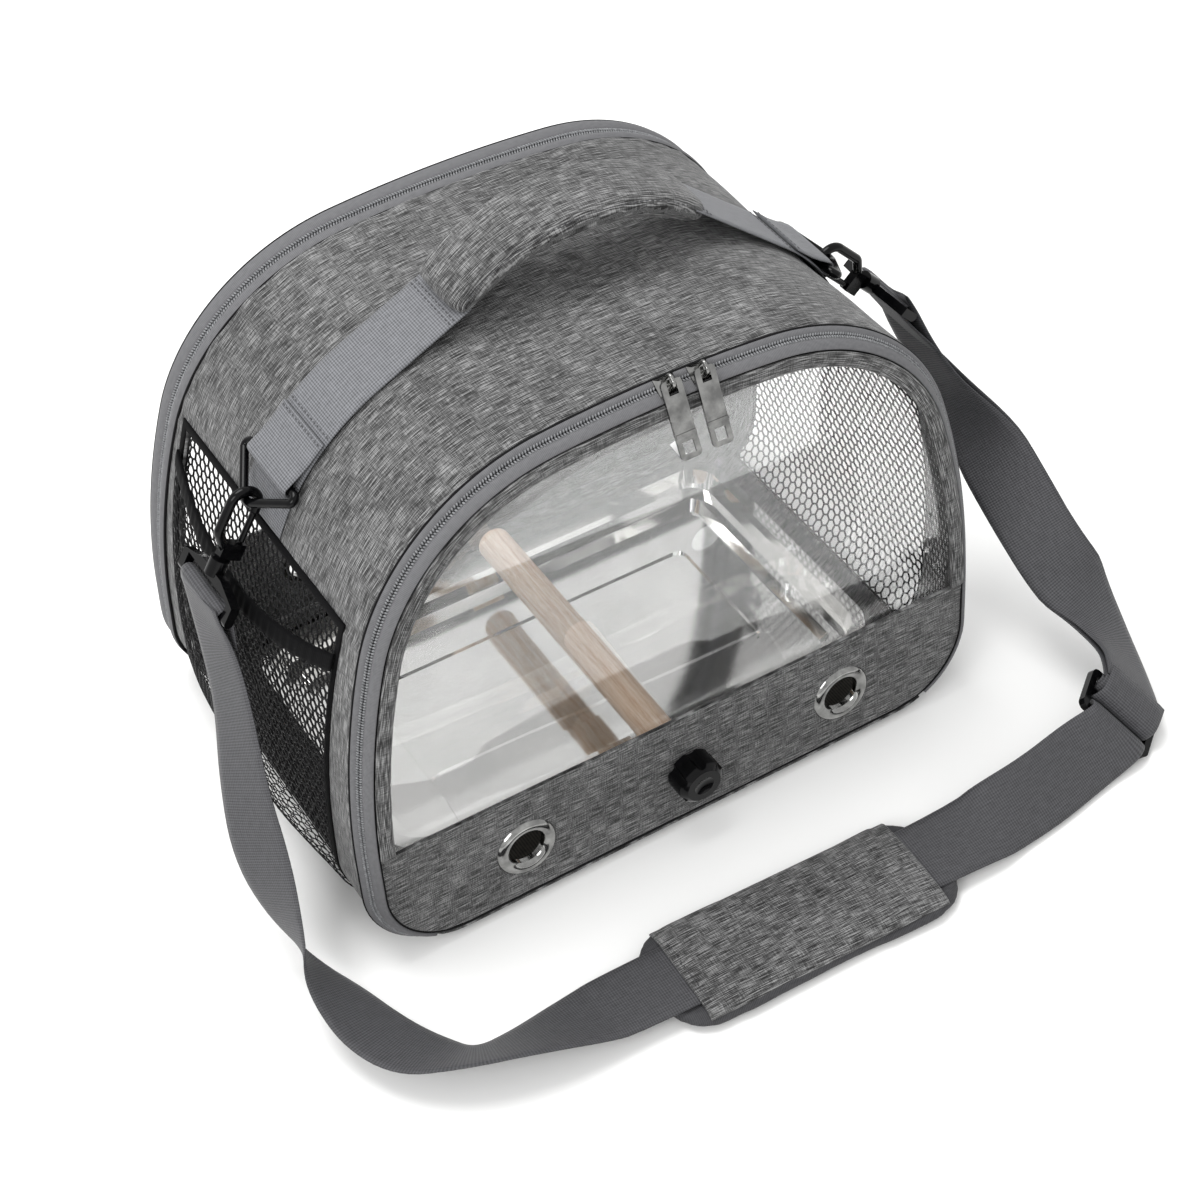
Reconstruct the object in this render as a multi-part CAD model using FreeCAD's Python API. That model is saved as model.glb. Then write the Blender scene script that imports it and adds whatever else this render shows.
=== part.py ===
import FreeCAD, Part
import math
import os

os.makedirs("parts", exist_ok=True)
V = FreeCAD.Vector

# Arched door seam, seen from the front
DOOR_WIDTH = 350.0
DOOR_LIFT = 7.0
SIDE_RISE = 64.0
SIDE_RADIUS = 440.0
SIDE_TURN = 16.0
SHOULDER_RADIUS = 111.0
SHOULDER_TURN = 68.5
CORNER_RADIUS = 43.0

# The two doors lean towards each other
BASE_DEPTH = 251.5
DOOR_LEAN = 4.27

# Zipper band, a chamfer between the door seam and the edge of the gusset
BAND_OUT = 7.0
BAND_BACK = 9.0
BACK_DROP = 1.5
BACK_BAND = 17.0
INNER_TAPE_END = 0.42
COIL_MEET = 0.58
OUTER_TAPE_START = 0.74
BAND_GAP = 0.03
TAPE_THICK = 1.4
COIL_THICK = 2.6
COIL_PROUD = 0.7
ZIP_END_X = 151.0

# Sewn shell
GUSSET_THICK = 2.5
BOARD_THICK = 3.0
BOARD_MARGIN = 6.0
SEAM_ROOM = 0.2
EDGE_SEAM = TAPE_THICK + SEAM_ROOM
WINDOW_MARGIN = 43.75
WINDOW_HALF_DEPTH = BASE_DEPTH / 2 - WINDOW_MARGIN
WINDOW_LOW = 17.0
WINDOW_HIGH = 199.0
MESH_THICK = 0.8
MESH_INSET = 1.6
BINDING_THICK = 0.8
BINDING_WIDTH = 6.0
POCKET_GAP = 0.8
POCKET_THICK = 0.9
POCKET_TOP = 177.0
POCKET_LEVELS = ((18.0, 0.8), (30.0, 5.0), (45.0, 9.0), (90.0, 15.0),
                 (135.0, 12.0), (POCKET_TOP, 4.0))
HEM_HEIGHT = 10.0
HEM_THICK = 1.6
HEM_BULGE = 3.0

# Door panels
PANEL_THICK = 2.0
BORDER_WIDTH = 11.0
STRIP_HEIGHT = 70.5
PVC_THICK = 0.8
PVC_LAP = 7.0
EYELET_X = 96.0
EYELET_Z = 40.0
EYELET_OUTER = 34.0
EYELET_HOLE = 20.0
EYELET_WALL = 1.0
EYELET_CROWN = 2.2
EYELET_FIT = 0.1

# Perch, screwed through the strip
PERCH_Z = 41.0
PERCH_DIA = 19.0
PERCH_LENGTH = 196.0
STUD_DIA = 6.0
STUD_FIT = 0.05
STUD_DEPTH = 22.0
WASHER_DIA = 24.0
WASHER_THICK = 1.5
SEAT_GAP = 1.6
KNOB_DIA = 26.0
KNOB_LENGTH = 14.0
KNOB_LOBES = 6
KNOB_FLUTE = 7.0
KNOB_SHANK = 9.0
KNOB_DOME = 34.3
KNOB_DIMPLE = 1.3

# Steel tray
TRAY_SIDE_ROOM = 25.0
TRAY_END_ROOM = 37.75
TRAY_X = DOOR_WIDTH / 2 - TRAY_SIDE_ROOM
TRAY_Y = BASE_DEPTH / 2 - TRAY_END_ROOM
TRAY_CORNER = 24.0
TRAY_TOP = 27.0
TRAY_GAUGE = 1.0
TRAY_RIM = 6.0
TRAY_LEDGE = 9.0
TRAY_LEDGE_Z = 14.0
TRAY_DRAFT = 3.0
TRAY_REST = 0.3
RIM_BEAD = 2.4

# Handle and its webbing
WEB_WIDTH = 40.0
WEB_THICK = 1.6
RING_PHI = 34.0
RING_BAR = 4.6
RING_FIT = 0.4
RING_SPAN = 60.0
RING_REACH = 22.0
RING_TILT = 17.0
RING_BEND = 2.6
FOLD_TURN = 9.0
LEFT_LIFT_PHI = 64.0
RIGHT_LIFT_PHI = 50.0
GRIP_LEFT_X = -58.0
GRIP_RIGHT_X = 78.0
GRIP_RISE = 27.0
GRIP_WIDTH = 50.0
GRIP_THICK = 17.0
GRIP_ROUND = 8.0
GRIP_CROWN = 2.0

# Snap hooks
HOOK_BOW = 7.3
HOOK_ROD = 5.0
HOOK_SEAT = 0.35
HOOK_LEFT_TURN = 31.0
HOOK_RIGHT_TURN = 44.0
HOOK_LENGTH = 31.0
HOOK_BLOCK = 9.0
COLLAR_DIA = 10.0
COLLAR_LENGTH = 7.0
SWIVEL_FIT = 0.05
SWIVEL_GAP = 0.4
GATE_DIA = 3.4
GATE_GAP = 0.4
BASE_RAIL = 5.0
BASE_DROP = 14.0

# Shoulder strap, a single length of webbing
STRAP_WIDTH = 40.0
STRAP_THICK = 1.8
STRAP_FIT = 0.4
STRAP_ROOM = 1.0
LAYER_GAP = 3.2
SEWN_LENGTH = 24.0
SEWN_DRIFT = V(-1.5, -9.0, 0)
SEWN_WIDE = V(0.10, -0.90, 0.40)

# Shoulder pad lying in front of the bag
PAD_X = 7.5
PAD_Y = -214.0
PAD_TURN = -2.0
PAD_LENGTH = 174.0
PAD_WIDTH = 69.0
PAD_END = 24.0
PAD_TAPER = 22.0
PAD_ROUND = 20.0
PAD_LOW = 0.4
PAD_TOP = 14.0
PAD_CROWN = 4.0
PAD_STRAP_Z = 9.8
PAD_TUCK = 17.0
PAD_FIT = 0.6

# Three-bar adjuster
ADJUSTER = V(222.0, -200.0, 19.0)
ADJ_ALONG = V(0.80, 0.60, 0.08)
ADJ_WIDE = V(0.30, -0.68, -0.67)
ADJ_BAR = 4.0
ADJ_RAIL_IN = 9.5
ADJ_RAIL_OUT = 13.0
ADJ_HALF_THICK = 2.0
ADJ_SIDE = 4.0

# Zipper sliders and pulls
SLIDER_X = (3.0, 21.0)
BACK_SLIDER_TURN = (9.0, 6.6)
SLIDER_LENGTH = 11.0
SLIDER_WIDTH = 9.0
SLIDER_HEIGHT = 3.2
SLIDER_CLEAR = 0.5
SLIDER_CROWN = (7.7, 5.4)
BAIL_HEIGHT = 5.8
BAIL_ROD = 1.8
BAIL_SPAN = 5.5
PULL_LENGTH = 38.0
PULL_WIDTH = 11.0
PULL_THICK = 1.6
PULL_SLOT = 5.0
PULL_WINDOW = 6.0
PULL_TILT = 26.0
BACK_PULL_LEAN = 12.0
PULL_FIT = 0.35

HALF_DEPTH = BASE_DEPTH / 2
LEAN_TAN = math.tan(math.radians(DOOR_LEAN))
LEAN_COS = math.cos(math.radians(DOOR_LEAN))
FAR = 1000.0


def write(name, shape):
    """Store one named node."""
    if not shape.isValid():
        raise ValueError(name + " is not a valid solid")
    shape.exportStep("parts/%s.step" % name)


def polar(centre, radius, degrees):
    """Point in the XZ plane at an angle from the X axis."""
    a = math.radians(degrees)
    return V(centre.x + radius * math.cos(a), centre.y, centre.z + radius * math.sin(a))


def arc(centre, radius, start, end):
    """Circular edge in the XZ plane between two angles."""
    points = [polar(centre, radius, start + (end - start) * f) for f in (0, 0.5, 1)]
    return Part.Arc(*points).toShape()


def arch(offset):
    """Centres and radii of the right half of the seam outline at an offset."""
    w = DOOR_WIDTH / 2 + offset
    r1 = SIDE_RADIUS + offset
    r2 = SHOULDER_RADIUS + offset
    c1 = V(w - r1, 0, DOOR_LIFT + SIDE_RISE)
    end = polar(c1, r1, SIDE_TURN)
    c2 = polar(end, -r2, SIDE_TURN)
    top = SIDE_TURN + SHOULDER_TURN
    shoulder = polar(c2, r2, top)
    r3 = shoulder.x / math.cos(math.radians(top))
    c3 = polar(shoulder, -r3, top)
    return {"w": w, "c1": c1, "r1": r1, "c2": c2, "r2": r2, "c3": c3, "r3": r3, "top": top}


def outline(offset, depth=0.0):
    """Closed seam outline at an offset, in the plane y = depth."""
    a = arch(offset)
    low = DOOR_LIFT - offset
    rc = CORNER_RADIUS + offset
    corner = V(a["w"] - rc, 0, low + rc)
    left_corner = V(-corner.x, 0, corner.z)
    c1, c2, c3 = a["c1"], a["c2"], a["c3"]
    foot = V(a["w"], 0, low + rc)
    waist = V(a["w"], 0, c1.z)
    edges = [
        arc(corner, rc, -90, 0),
        Part.makeLine(foot, waist),
        arc(c1, a["r1"], 0, SIDE_TURN),
        arc(c2, a["r2"], SIDE_TURN, a["top"]),
        arc(c3, a["r3"], a["top"], 180 - a["top"]),
        arc(V(-c2.x, 0, c2.z), a["r2"], 180 - a["top"], 180 - SIDE_TURN),
        arc(V(-c1.x, 0, c1.z), a["r1"], 180 - SIDE_TURN, 180),
        Part.makeLine(V(-waist.x, 0, waist.z), V(-foot.x, 0, foot.z)),
        arc(left_corner, rc, 180, 270),
        Part.makeLine(V(-corner.x, 0, low), V(corner.x, 0, low)),
    ]
    wire = Part.Wire(edges)
    wire.translate(V(0, depth, 0))
    return wire


def plate(offset, y0, y1):
    """Slab with the seam outline between two depths."""
    return Part.Face(outline(offset, y0)).extrude(V(0, y1 - y0, 0))


def box(x0, x1, y0, y1, z0, z1):
    """Box between limits."""
    return Part.makeBox(x1 - x0, y1 - y0, z1 - z0, V(x0, y0, z0))


def rod(start, end, dia):
    """Round bar between two points."""
    along = end - start
    return Part.makeCylinder(dia / 2, along.Length, start, along)


def mirrored(shape):
    """The same piece on the other side, left for right."""
    return shape.mirror(V(0, 0, 0), V(1, 0, 0))


def front(shape):
    """Stand a flat door piece in the leaning front door; depth runs inwards."""
    s = shape.copy()
    s.rotate(V(0, 0, DOOR_LIFT), V(1, 0, 0), -DOOR_LEAN)
    s.translate(V(0, -HALF_DEPTH, 0))
    return s


def back(shape):
    """Stand a flat door piece in the back door."""
    return front(shape).mirror(V(0, 0, 0), V(0, 1, 0))


def front_y(z, depth):
    """Y of the front door plane at a height and a depth behind the door face."""
    return -HALF_DEPTH + depth / LEAN_COS + (z - DOOR_LIFT) * LEAN_TAN


def side_x(z, offset):
    """Half width of the bag at a height below the shoulder."""
    a = arch(offset)
    rc = CORNER_RADIUS + offset
    corner_z = DOOR_LIFT - offset + rc
    if z < corner_z:
        return a["w"] - rc + math.sqrt(rc ** 2 - (corner_z - z) ** 2)
    if z < a["c1"].z:
        return a["w"]
    return a["c1"].x + math.sqrt(a["r1"] ** 2 - (z - a["c1"].z) ** 2)


# Gusset and what is sewn to it

SHELL = BAND_OUT
SKIN = SHELL - GUSSET_THICK


def between_doors(front_depth, back_depth):
    """Wedge of space between the two leaning door planes."""
    low = -FAR / 10
    high = FAR / 2
    corners = [V(-FAR / 2, front_y(low, front_depth), low), V(-FAR / 2, -front_y(low, back_depth), low),
               V(-FAR / 2, -front_y(high, back_depth), high), V(-FAR / 2, front_y(high, front_depth), high)]
    face = Part.Face(Part.makePolygon(corners + corners[:1]))
    return face.extrude(V(FAR, 0, 0))


def shell(outer, inner, half_depth):
    """Sheet wrapped round the arch between two offsets."""
    return plate(outer, -half_depth, half_depth).cut(plate(inner, -half_depth, half_depth))


def side_slab(half_depth, low, high):
    """Block that covers one patch of the left side."""
    return box(-FAR / 2, 0, -half_depth, half_depth, low, high)


def window_patch(grow):
    """Left side patch, larger than the mesh window by a margin."""
    return side_slab(WINDOW_HALF_DEPTH + grow, WINDOW_LOW - grow, WINDOW_HIGH + grow)


def gusset():
    """Arched fabric shell with a window opening in each side."""
    s = shell(SHELL, SKIN, HALF_DEPTH).common(between_doors(BAND_BACK, BACK_BAND))
    opening = window_patch(0)
    return s.cut(opening).cut(mirrored(opening))


def base_board():
    """Stiff board on the floor of the bag."""
    half_x = DOOR_WIDTH / 2 - CORNER_RADIUS
    half_y = HALF_DEPTH - BACK_BAND - BOARD_MARGIN
    z = DOOR_LIFT - SKIN
    return box(-half_x, half_x, -half_y, half_y, z, z + BOARD_THICK)


def mesh_window():
    """Left mesh panel held in the opening."""
    outer = SHELL - MESH_INSET
    return shell(outer, outer - MESH_THICK, HALF_DEPTH).common(window_patch(0))


def window_binding():
    """Tape frame sewn over the edge of the left opening."""
    tape = shell(SHELL + BINDING_THICK, SHELL, HALF_DEPTH)
    return tape.common(window_patch(BINDING_WIDTH)).cut(window_patch(0))


def pocket_section(z, bulge, thick):
    """Curved strip of pocket cloth at one height on the left side."""
    inner = SHELL + BINDING_THICK + POCKET_GAP
    half = WINDOW_HALF_DEPTH + BINDING_WIDTH / 2
    x_in = -side_x(z, inner)
    x_out = x_in - thick
    far = [V(x_out, -half, z), V(x_out - bulge, 0, z), V(x_out, half, z)]
    near = [V(x_in, half, z), V(x_in - bulge, 0, z), V(x_in, -half, z)]
    edges = [Part.Arc(*far).toShape(), Part.makeLine(far[2], near[0]),
             Part.Arc(*near).toShape(), Part.makeLine(near[2], far[0])]
    return Part.Wire(edges)


def pocket():
    """Left pocket, open at the top."""
    wires = [pocket_section(z, bulge, POCKET_THICK) for z, bulge in POCKET_LEVELS]
    return Part.makeLoft(wires, True, False)


def pocket_hem():
    """Elastic edge along the mouth of the left pocket."""
    low = pocket_section(POCKET_TOP, POCKET_LEVELS[-1][1], HEM_THICK)
    high = pocket_section(POCKET_TOP + HEM_HEIGHT, HEM_BULGE, HEM_THICK)
    return Part.makeLoft([low, high], True, True)


# Zipper bands

# Drop towards the door and depth of each zipper band
FRONT_LIE = (BAND_OUT, BAND_BACK)
BACK_LIE = (BACK_DROP, BACK_BAND)


def band_offset(f, lie):
    """Offset of the zipper band at a fraction of its width."""
    return BAND_OUT - lie[0] * (1 - f)


def frustum(f0, f1, shift, lie):
    """Solid between two seam outlines of the zipper band."""
    rings = [outline(band_offset(f, lie) + shift, lie[1] * f) for f in (f0, f1)]
    return Part.makeLoft(rings, True, True)


def band(f0, f1, thick, proud, lie):
    """Ring on the zipper band between two fractions of its width."""
    return frustum(f0, f1, proud, lie).cut(frustum(f0, f1, proud - thick, lie))


def zip_gap():
    """Stretch of the lower edge that has no zipper."""
    high = DOOR_LIFT + STRIP_HEIGHT / 2
    return box(-ZIP_END_X, ZIP_END_X, -FAR / 10, FAR / 10, -FAR / 10, high)


def zip_part(f0, f1, thick, proud, lie):
    """Ring on the zipper band, left open along the lower edge."""
    return band(f0, f1, thick, proud, lie).cut(zip_gap())


def coil(f0, f1, lie):
    """One half of the zipper's row of teeth."""
    return zip_part(f0, f1, COIL_THICK, COIL_PROUD, lie)


def grounded(shape):
    """Trim a piece level with the underside of the bag."""
    return shape.cut(box(-FAR / 2, FAR / 2, -FAR / 2, FAR / 2, -FAR, 0))


def sill(lie):
    """Fabric fold that joins the lower edge of the gusset to the door."""
    return band(BAND_GAP, 1, TAPE_THICK, 0, lie).common(zip_gap())


# Door panels, drawn flat

def strip_block(z):
    """Everything below a height."""
    return box(-FAR / 2, FAR / 2, -FAR / 10, FAR / 10, -FAR / 10, z)


STRIP_TOP = DOOR_LIFT + STRIP_HEIGHT


def strip_holes(dia):
    """Cutters for the two eyelets."""
    cutters = [Part.makeCylinder(dia / 2, FAR / 10, V(x, -FAR / 20, EYELET_Z), V(0, 1, 0))
               for x in (-EYELET_X, EYELET_X)]
    return Part.makeCompound(cutters)


def strip(edge):
    """Fabric strip along the foot of a door."""
    s = plate(edge - EDGE_SEAM, 0, PANEL_THICK).common(strip_block(STRIP_TOP))
    return s.cut(strip_holes(EYELET_HOLE + 2 * (EYELET_WALL + EYELET_FIT)))


def border(edge):
    """Fabric border round the clear window."""
    ring = plate(edge - EDGE_SEAM, 0, PANEL_THICK).cut(plate(edge - BORDER_WIDTH, 0, PANEL_THICK))
    return ring.cut(strip_block(STRIP_TOP))


def clear_window(edge):
    """Clear sheet behind the border and the top of the strip."""
    s = plate(edge - BORDER_WIDTH / 2, PANEL_THICK, PANEL_THICK + PVC_THICK)
    return s.cut(strip_block(STRIP_TOP - PVC_LAP))


def eyelet(x):
    """Rolled metal eyelet: domed flange, barrel and back flange."""
    r_hole = EYELET_HOLE / 2
    r_out = EYELET_OUTER / 2
    r_mid = (r_hole + r_out) / 2
    lip = PANEL_THICK + EYELET_WALL
    barrel = r_hole + EYELET_WALL
    edges = [
        Part.makeLine(V(r_hole, lip, 0), V(r_hole, 0, 0)),
        Part.Arc(V(r_hole, 0, 0), V(r_mid, -EYELET_CROWN, 0), V(r_out, 0, 0)).toShape(),
        Part.makeLine(V(r_out, 0, 0), V(barrel, 0, 0)),
        Part.makeLine(V(barrel, 0, 0), V(barrel, PANEL_THICK, 0)),
        Part.makeLine(V(barrel, PANEL_THICK, 0), V(r_mid, PANEL_THICK, 0)),
        Part.makeLine(V(r_mid, PANEL_THICK, 0), V(r_mid, lip, 0)),
        Part.makeLine(V(r_mid, lip, 0), V(r_hole, lip, 0)),
    ]
    s = Part.Face(Part.Wire(edges)).revolve(V(0, 0, 0), V(0, 1, 0), 360)
    s.translate(V(x, 0, EYELET_Z))
    return s


def eyelets():
    """Pair of eyelets of one door."""
    return Part.makeCompound([eyelet(-EYELET_X), eyelet(EYELET_X)])


# Perch and knob

PERCH_FACE = front_y(PERCH_Z, PANEL_THICK) + SEAT_GAP
KNOB_FACE = front_y(PERCH_Z, 0) - SEAT_GAP
AXLE = V(0, 1, 0)


def on_axle(y):
    """Point on the perch axis."""
    return V(0, y, PERCH_Z)


def axle_rod(y0, y1, dia):
    """Round bar on the perch axis."""
    return rod(on_axle(y0), on_axle(y1), dia)


PERCH_START = PERCH_FACE + WASHER_THICK
STUD_HOLE = STUD_DIA + 2 * STUD_FIT


def perch():
    """Wooden dowel with a rounded far end and a blind hole for the stud."""
    s = axle_rod(PERCH_START, PERCH_START + PERCH_LENGTH, PERCH_DIA)
    middle = PERCH_START + PERCH_LENGTH / 2
    far_edge = [e for e in s.Edges if e.Closed and e.BoundBox.YMin > middle]
    s = s.makeFillet(PERCH_DIA / 6, far_edge)
    return s.cut(axle_rod(PERCH_START, PERCH_START + STUD_DEPTH, STUD_HOLE))


def perch_washer():
    """Washer between the dowel and the strip."""
    s = axle_rod(PERCH_FACE, PERCH_START, WASHER_DIA)
    return s.cut(axle_rod(PERCH_FACE, PERCH_START, STUD_HOLE))


def perch_stud():
    """Screw stud from the dowel into the knob."""
    return axle_rod(KNOB_FACE - KNOB_SHANK + SEAT_GAP / 2, PERCH_START + STUD_DEPTH, STUD_DIA)


def knob():
    """Lobed hand nut with a domed face."""
    s = axle_rod(KNOB_FACE - KNOB_LENGTH, KNOB_FACE, KNOB_DIA)
    ring = KNOB_DIA / 2 + KNOB_FLUTE / 4
    for i in range(KNOB_LOBES):
        a = 2 * math.pi * (i + 0.5) / KNOB_LOBES
        start = V(ring * math.cos(a), KNOB_FACE - KNOB_LENGTH, PERCH_Z + ring * math.sin(a))
        s = s.cut(Part.makeCylinder(KNOB_FLUTE / 2, KNOB_LENGTH, start, AXLE))
    dome = Part.makeSphere(KNOB_DOME / 2, on_axle(KNOB_FACE))
    s = s.common(dome)
    dimple = Part.makeSphere(KNOB_DIA / 2, on_axle(KNOB_FACE - KNOB_LENGTH - KNOB_DIA / 2 + KNOB_DIMPLE))
    s = s.cut(dimple)
    return s.cut(axle_rod(KNOB_FACE - KNOB_SHANK, KNOB_FACE, STUD_HOLE))


# Tray

def round_rect(half_x, half_y, radius, z):
    """Rounded rectangle at a height."""
    x, y, r = half_x - radius, half_y - radius, radius
    k = r * math.sqrt(0.5)
    edges = []
    corners = ((x, y, 1, 1), (-x, y, -1, 1), (-x, -y, -1, -1), (x, -y, 1, -1))
    ends = []
    for cx, cy, sx, sy in corners:
        first, last = V(cx + sx * r, cy, z), V(cx, cy + sy * r, z)
        if sx * sy < 0:
            first, last = last, first
        ends.append((first, V(cx + sx * k, cy + sy * k, z), last))
    for i, (first, mid, last) in enumerate(ends):
        edges.append(Part.Arc(first, mid, last).toShape())
        edges.append(Part.makeLine(last, ends[(i + 1) % len(ends)][0]))
    return Part.Wire(edges)


def pan(upper, upper_z, lower, lower_z):
    """Solid between two insets of the tray outline."""
    wires = [round_rect(TRAY_X - i, TRAY_Y - i, max(TRAY_CORNER - i, TRAY_RIM), z)
             for i, z in ((upper, upper_z), (lower, lower_z))]
    return Part.makeLoft(wires, True, True)


def tray():
    """Pressed pan with a rim, a ledge and a sunk floor panel."""
    low = DOOR_LIFT - SKIN + BOARD_THICK + TRAY_REST
    floor = low + TRAY_DRAFT / 2
    wall = TRAY_RIM + TRAY_DRAFT
    step = wall + TRAY_LEDGE
    sunk = step + 3 * TRAY_LEDGE
    levels = ((TRAY_RIM, TRAY_TOP, wall, TRAY_LEDGE_Z),
              (step, TRAY_LEDGE_Z, step + TRAY_DRAFT, floor),
              (sunk, floor, sunk + TRAY_GAUGE, low))
    rim = pan(0, TRAY_TOP, 0, TRAY_TOP - TRAY_GAUGE)
    lip = pan(0, TRAY_TOP, 0, TRAY_TOP - RIM_BEAD).cut(
        pan(TRAY_GAUGE, TRAY_TOP, TRAY_GAUGE, TRAY_TOP - RIM_BEAD))
    s = rim.fuse([lip] + [pan(*level) for level in levels])
    for upper, upper_z, lower, lower_z in levels:
        s = s.cut(pan(upper + TRAY_GAUGE, upper_z + TRAY_GAUGE,
                      lower + TRAY_GAUGE, lower_z + TRAY_GAUGE))
    return s.removeSplitter()


# Handle webbing, rings and hooks

def placed(shape, origin, x_dir, z_dir):
    """Move a piece from its own axes to the bag."""
    x = V(x_dir).normalize()
    z = V(z_dir).normalize()
    y = z.cross(x)
    m = FreeCAD.Matrix(x.x, y.x, z.x, origin.x, x.y, y.y, z.y, origin.y,
                       x.z, y.z, z.z, origin.z, 0, 0, 0, 1)
    return shape.transformed(m, True)


def path(points, radii):
    """Straight runs joined by tangent arcs, one radius for each inner point."""
    edges = []
    start = points[0]
    for p, q, following, r in zip(points, points[1:], points[2:], radii):
        a = (p - q).normalize()
        b = (following - q).normalize()
        half = a.getAngle(b) / 2
        reach = r / math.tan(half)
        middle = (a + b).normalize() * (r / math.sin(half) - r)
        first, last = q + a * reach, q + b * reach
        edges.append(Part.makeLine(start, first))
        edges.append(Part.Arc(first, q + middle, last).toShape())
        start = last
    edges.append(Part.makeLine(start, points[-1]))
    return edges


def swept_rod(edges, dia):
    """Round rod along a chain of tangent edges."""
    wire = Part.Wire(edges)
    first = edges[0]
    start = first.valueAt(first.FirstParameter)
    along = first.tangentAt(first.FirstParameter)
    profile = Part.Wire(Part.makeCircle(dia / 2, start, along))
    return wire.makePipeShell([profile], True, False)


ARCH = arch(SHELL)
FOLD_OUT = RING_BAR / 2 + RING_FIT + WEB_THICK
FOLD_IN = FOLD_OUT - WEB_THICK


def on_shoulder(phi, stand):
    """Point above the right shoulder of the gusset."""
    return polar(ARCH["c2"], ARCH["r2"] + stand, phi)


def shoulder_axes(phi):
    """Upward tangent and outward normal on the right shoulder."""
    normal = polar(V(0, 0, 0), 1, phi)
    return V(-normal.z, 0, normal.x), normal


def flat_strip(corners):
    """Polygon in the XZ plane drawn out to the webbing's width."""
    face = Part.Face(Part.makePolygon(corners + corners[:1]))
    face.translate(V(0, -WEB_WIDTH / 2, 0))
    return face.extrude(V(0, WEB_WIDTH, 0))


def leg_height(lift_phi, grip_x):
    """Height at which the free webbing reaches the end of the grip."""
    up, normal = shoulder_axes(lift_phi)
    foot = on_shoulder(lift_phi, WEB_THICK / 2)
    return foot.z + (foot.x - grip_x) * up.z / -up.x


def web_leg(lift_phi, grip_x):
    """Free webbing from the shoulder into the end of the grip."""
    up, normal = shoulder_axes(lift_phi)
    foot = on_shoulder(lift_phi, 0)
    length = (foot.x - grip_x) / -up.x + GRIP_ROUND
    side = normal * WEB_THICK
    return flat_strip([foot, foot + up * length, foot + up * length + side, foot + side])


def handle_web(lift_phi, grip_x):
    """Webbing from the folded ring loop over the right shoulder to the grip."""
    y = V(0, WEB_WIDTH / 2, 0)
    c2, r = ARCH["c2"], ARCH["r2"]
    inner = arc(c2 - y, r, RING_PHI, lift_phi)
    outer = arc(c2 - y, r + WEB_THICK, lift_phi, RING_PHI)
    ends = [Part.makeLine(on_shoulder(lift_phi, 0) - y, on_shoulder(lift_phi, WEB_THICK) - y),
            Part.makeLine(on_shoulder(RING_PHI, WEB_THICK) - y, on_shoulder(RING_PHI, 0) - y)]
    lying = Part.Face(Part.Wire([inner, ends[0], outer, ends[1]])).extrude(y * 2)
    bar = on_shoulder(RING_PHI, FOLD_OUT)
    up, normal = shoulder_axes(RING_PHI)
    tube = Part.makeCylinder(FOLD_OUT, WEB_WIDTH, bar - y, V(0, 1, 0))
    tube = tube.cut(Part.makeCylinder(FOLD_IN, WEB_WIDTH, bar - y, V(0, 1, 0)))
    reach = 2 * FOLD_OUT
    keep = flat_strip([bar + normal * reach, bar - normal * reach,
                       bar - normal * reach - up * reach, bar + normal * reach - up * reach])
    sewn = on_shoulder(RING_PHI + FOLD_TURN, WEB_THICK / 2)
    cover = flat_strip([bar + normal * FOLD_IN, bar + normal * FOLD_OUT,
                        sewn + normal * WEB_THICK * 1.5, sewn])
    s = lying.fuse([tube.common(keep), cover, web_leg(lift_phi, grip_x)])
    return s.removeSplitter()


def grip():
    """Padded grip bent over an arc, with a rounded cushion section."""
    half = (GRIP_RIGHT_X - GRIP_LEFT_X) / 2
    x_mid = (GRIP_RIGHT_X + GRIP_LEFT_X) / 2
    end_z = min(leg_height(RIGHT_LIFT_PHI, GRIP_RIGHT_X), leg_height(LEFT_LIFT_PHI, -GRIP_LEFT_X))
    radius = (half ** 2 + GRIP_RISE ** 2) / (2 * GRIP_RISE)
    centre = V(x_mid, 0, end_z + GRIP_RISE - radius)
    turn = math.degrees(math.asin(half / radius))
    y1, y2 = GRIP_WIDTH / 2 - GRIP_ROUND, GRIP_WIDTH / 2
    t = GRIP_THICK / 2
    top = V(x_mid, 0, centre.z + radius)
    spots = [((-y1, t), (0, t + GRIP_CROWN), (y1, t)), ((y1, t), (y2, 0), (y1, -t)),
             ((y1, -t), (0, -t - GRIP_CROWN), (-y1, -t)), ((-y1, -t), (-y2, 0), (-y1, t))]
    edges = [Part.Arc(*[top + V(0, y, z) for y, z in spot]).toShape() for spot in spots]
    face = Part.Face(Part.Wire(edges))
    face.rotate(centre, V(0, 1, 0), -turn)
    s = face.revolve(centre, V(0, 1, 0), 2 * turn)
    legs = [web_leg(RIGHT_LIFT_PHI, GRIP_RIGHT_X), mirrored(web_leg(LEFT_LIFT_PHI, -GRIP_LEFT_X))]
    return s.cut(legs[0]).cut(legs[1])


APEX_BEND = 3 * RING_BEND
APEX_HALF = math.atan2(RING_SPAN / 2, RING_REACH)
APEX_DROP = RING_REACH - APEX_BEND * (1 / math.sin(APEX_HALF) - 1)


def ring_axes():
    """Directions of the right ring, lifted off the gusset by the hook."""
    return shoulder_axes(RING_PHI + RING_TILT)


def ring():
    """Triangular ring on the right: bar in the webbing fold, apex hanging down."""
    half = RING_SPAN / 2
    corners = [V(0, 0, 0), V(0, half, 0), V(-RING_REACH, 0, 0), V(0, -half, 0), V(0, 0, 0)]
    edges = path(corners, (RING_BEND, APEX_BEND, RING_BEND))
    s = swept_rod(edges, RING_BAR)
    up, normal = ring_axes()
    return placed(s, on_shoulder(RING_PHI, FOLD_OUT), up, normal)


def ring_apex():
    """Middle of the ring's rod at its lowest point on the right."""
    up, normal = ring_axes()
    return on_shoulder(RING_PHI, FOLD_OUT) - up * APEX_DROP


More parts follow.
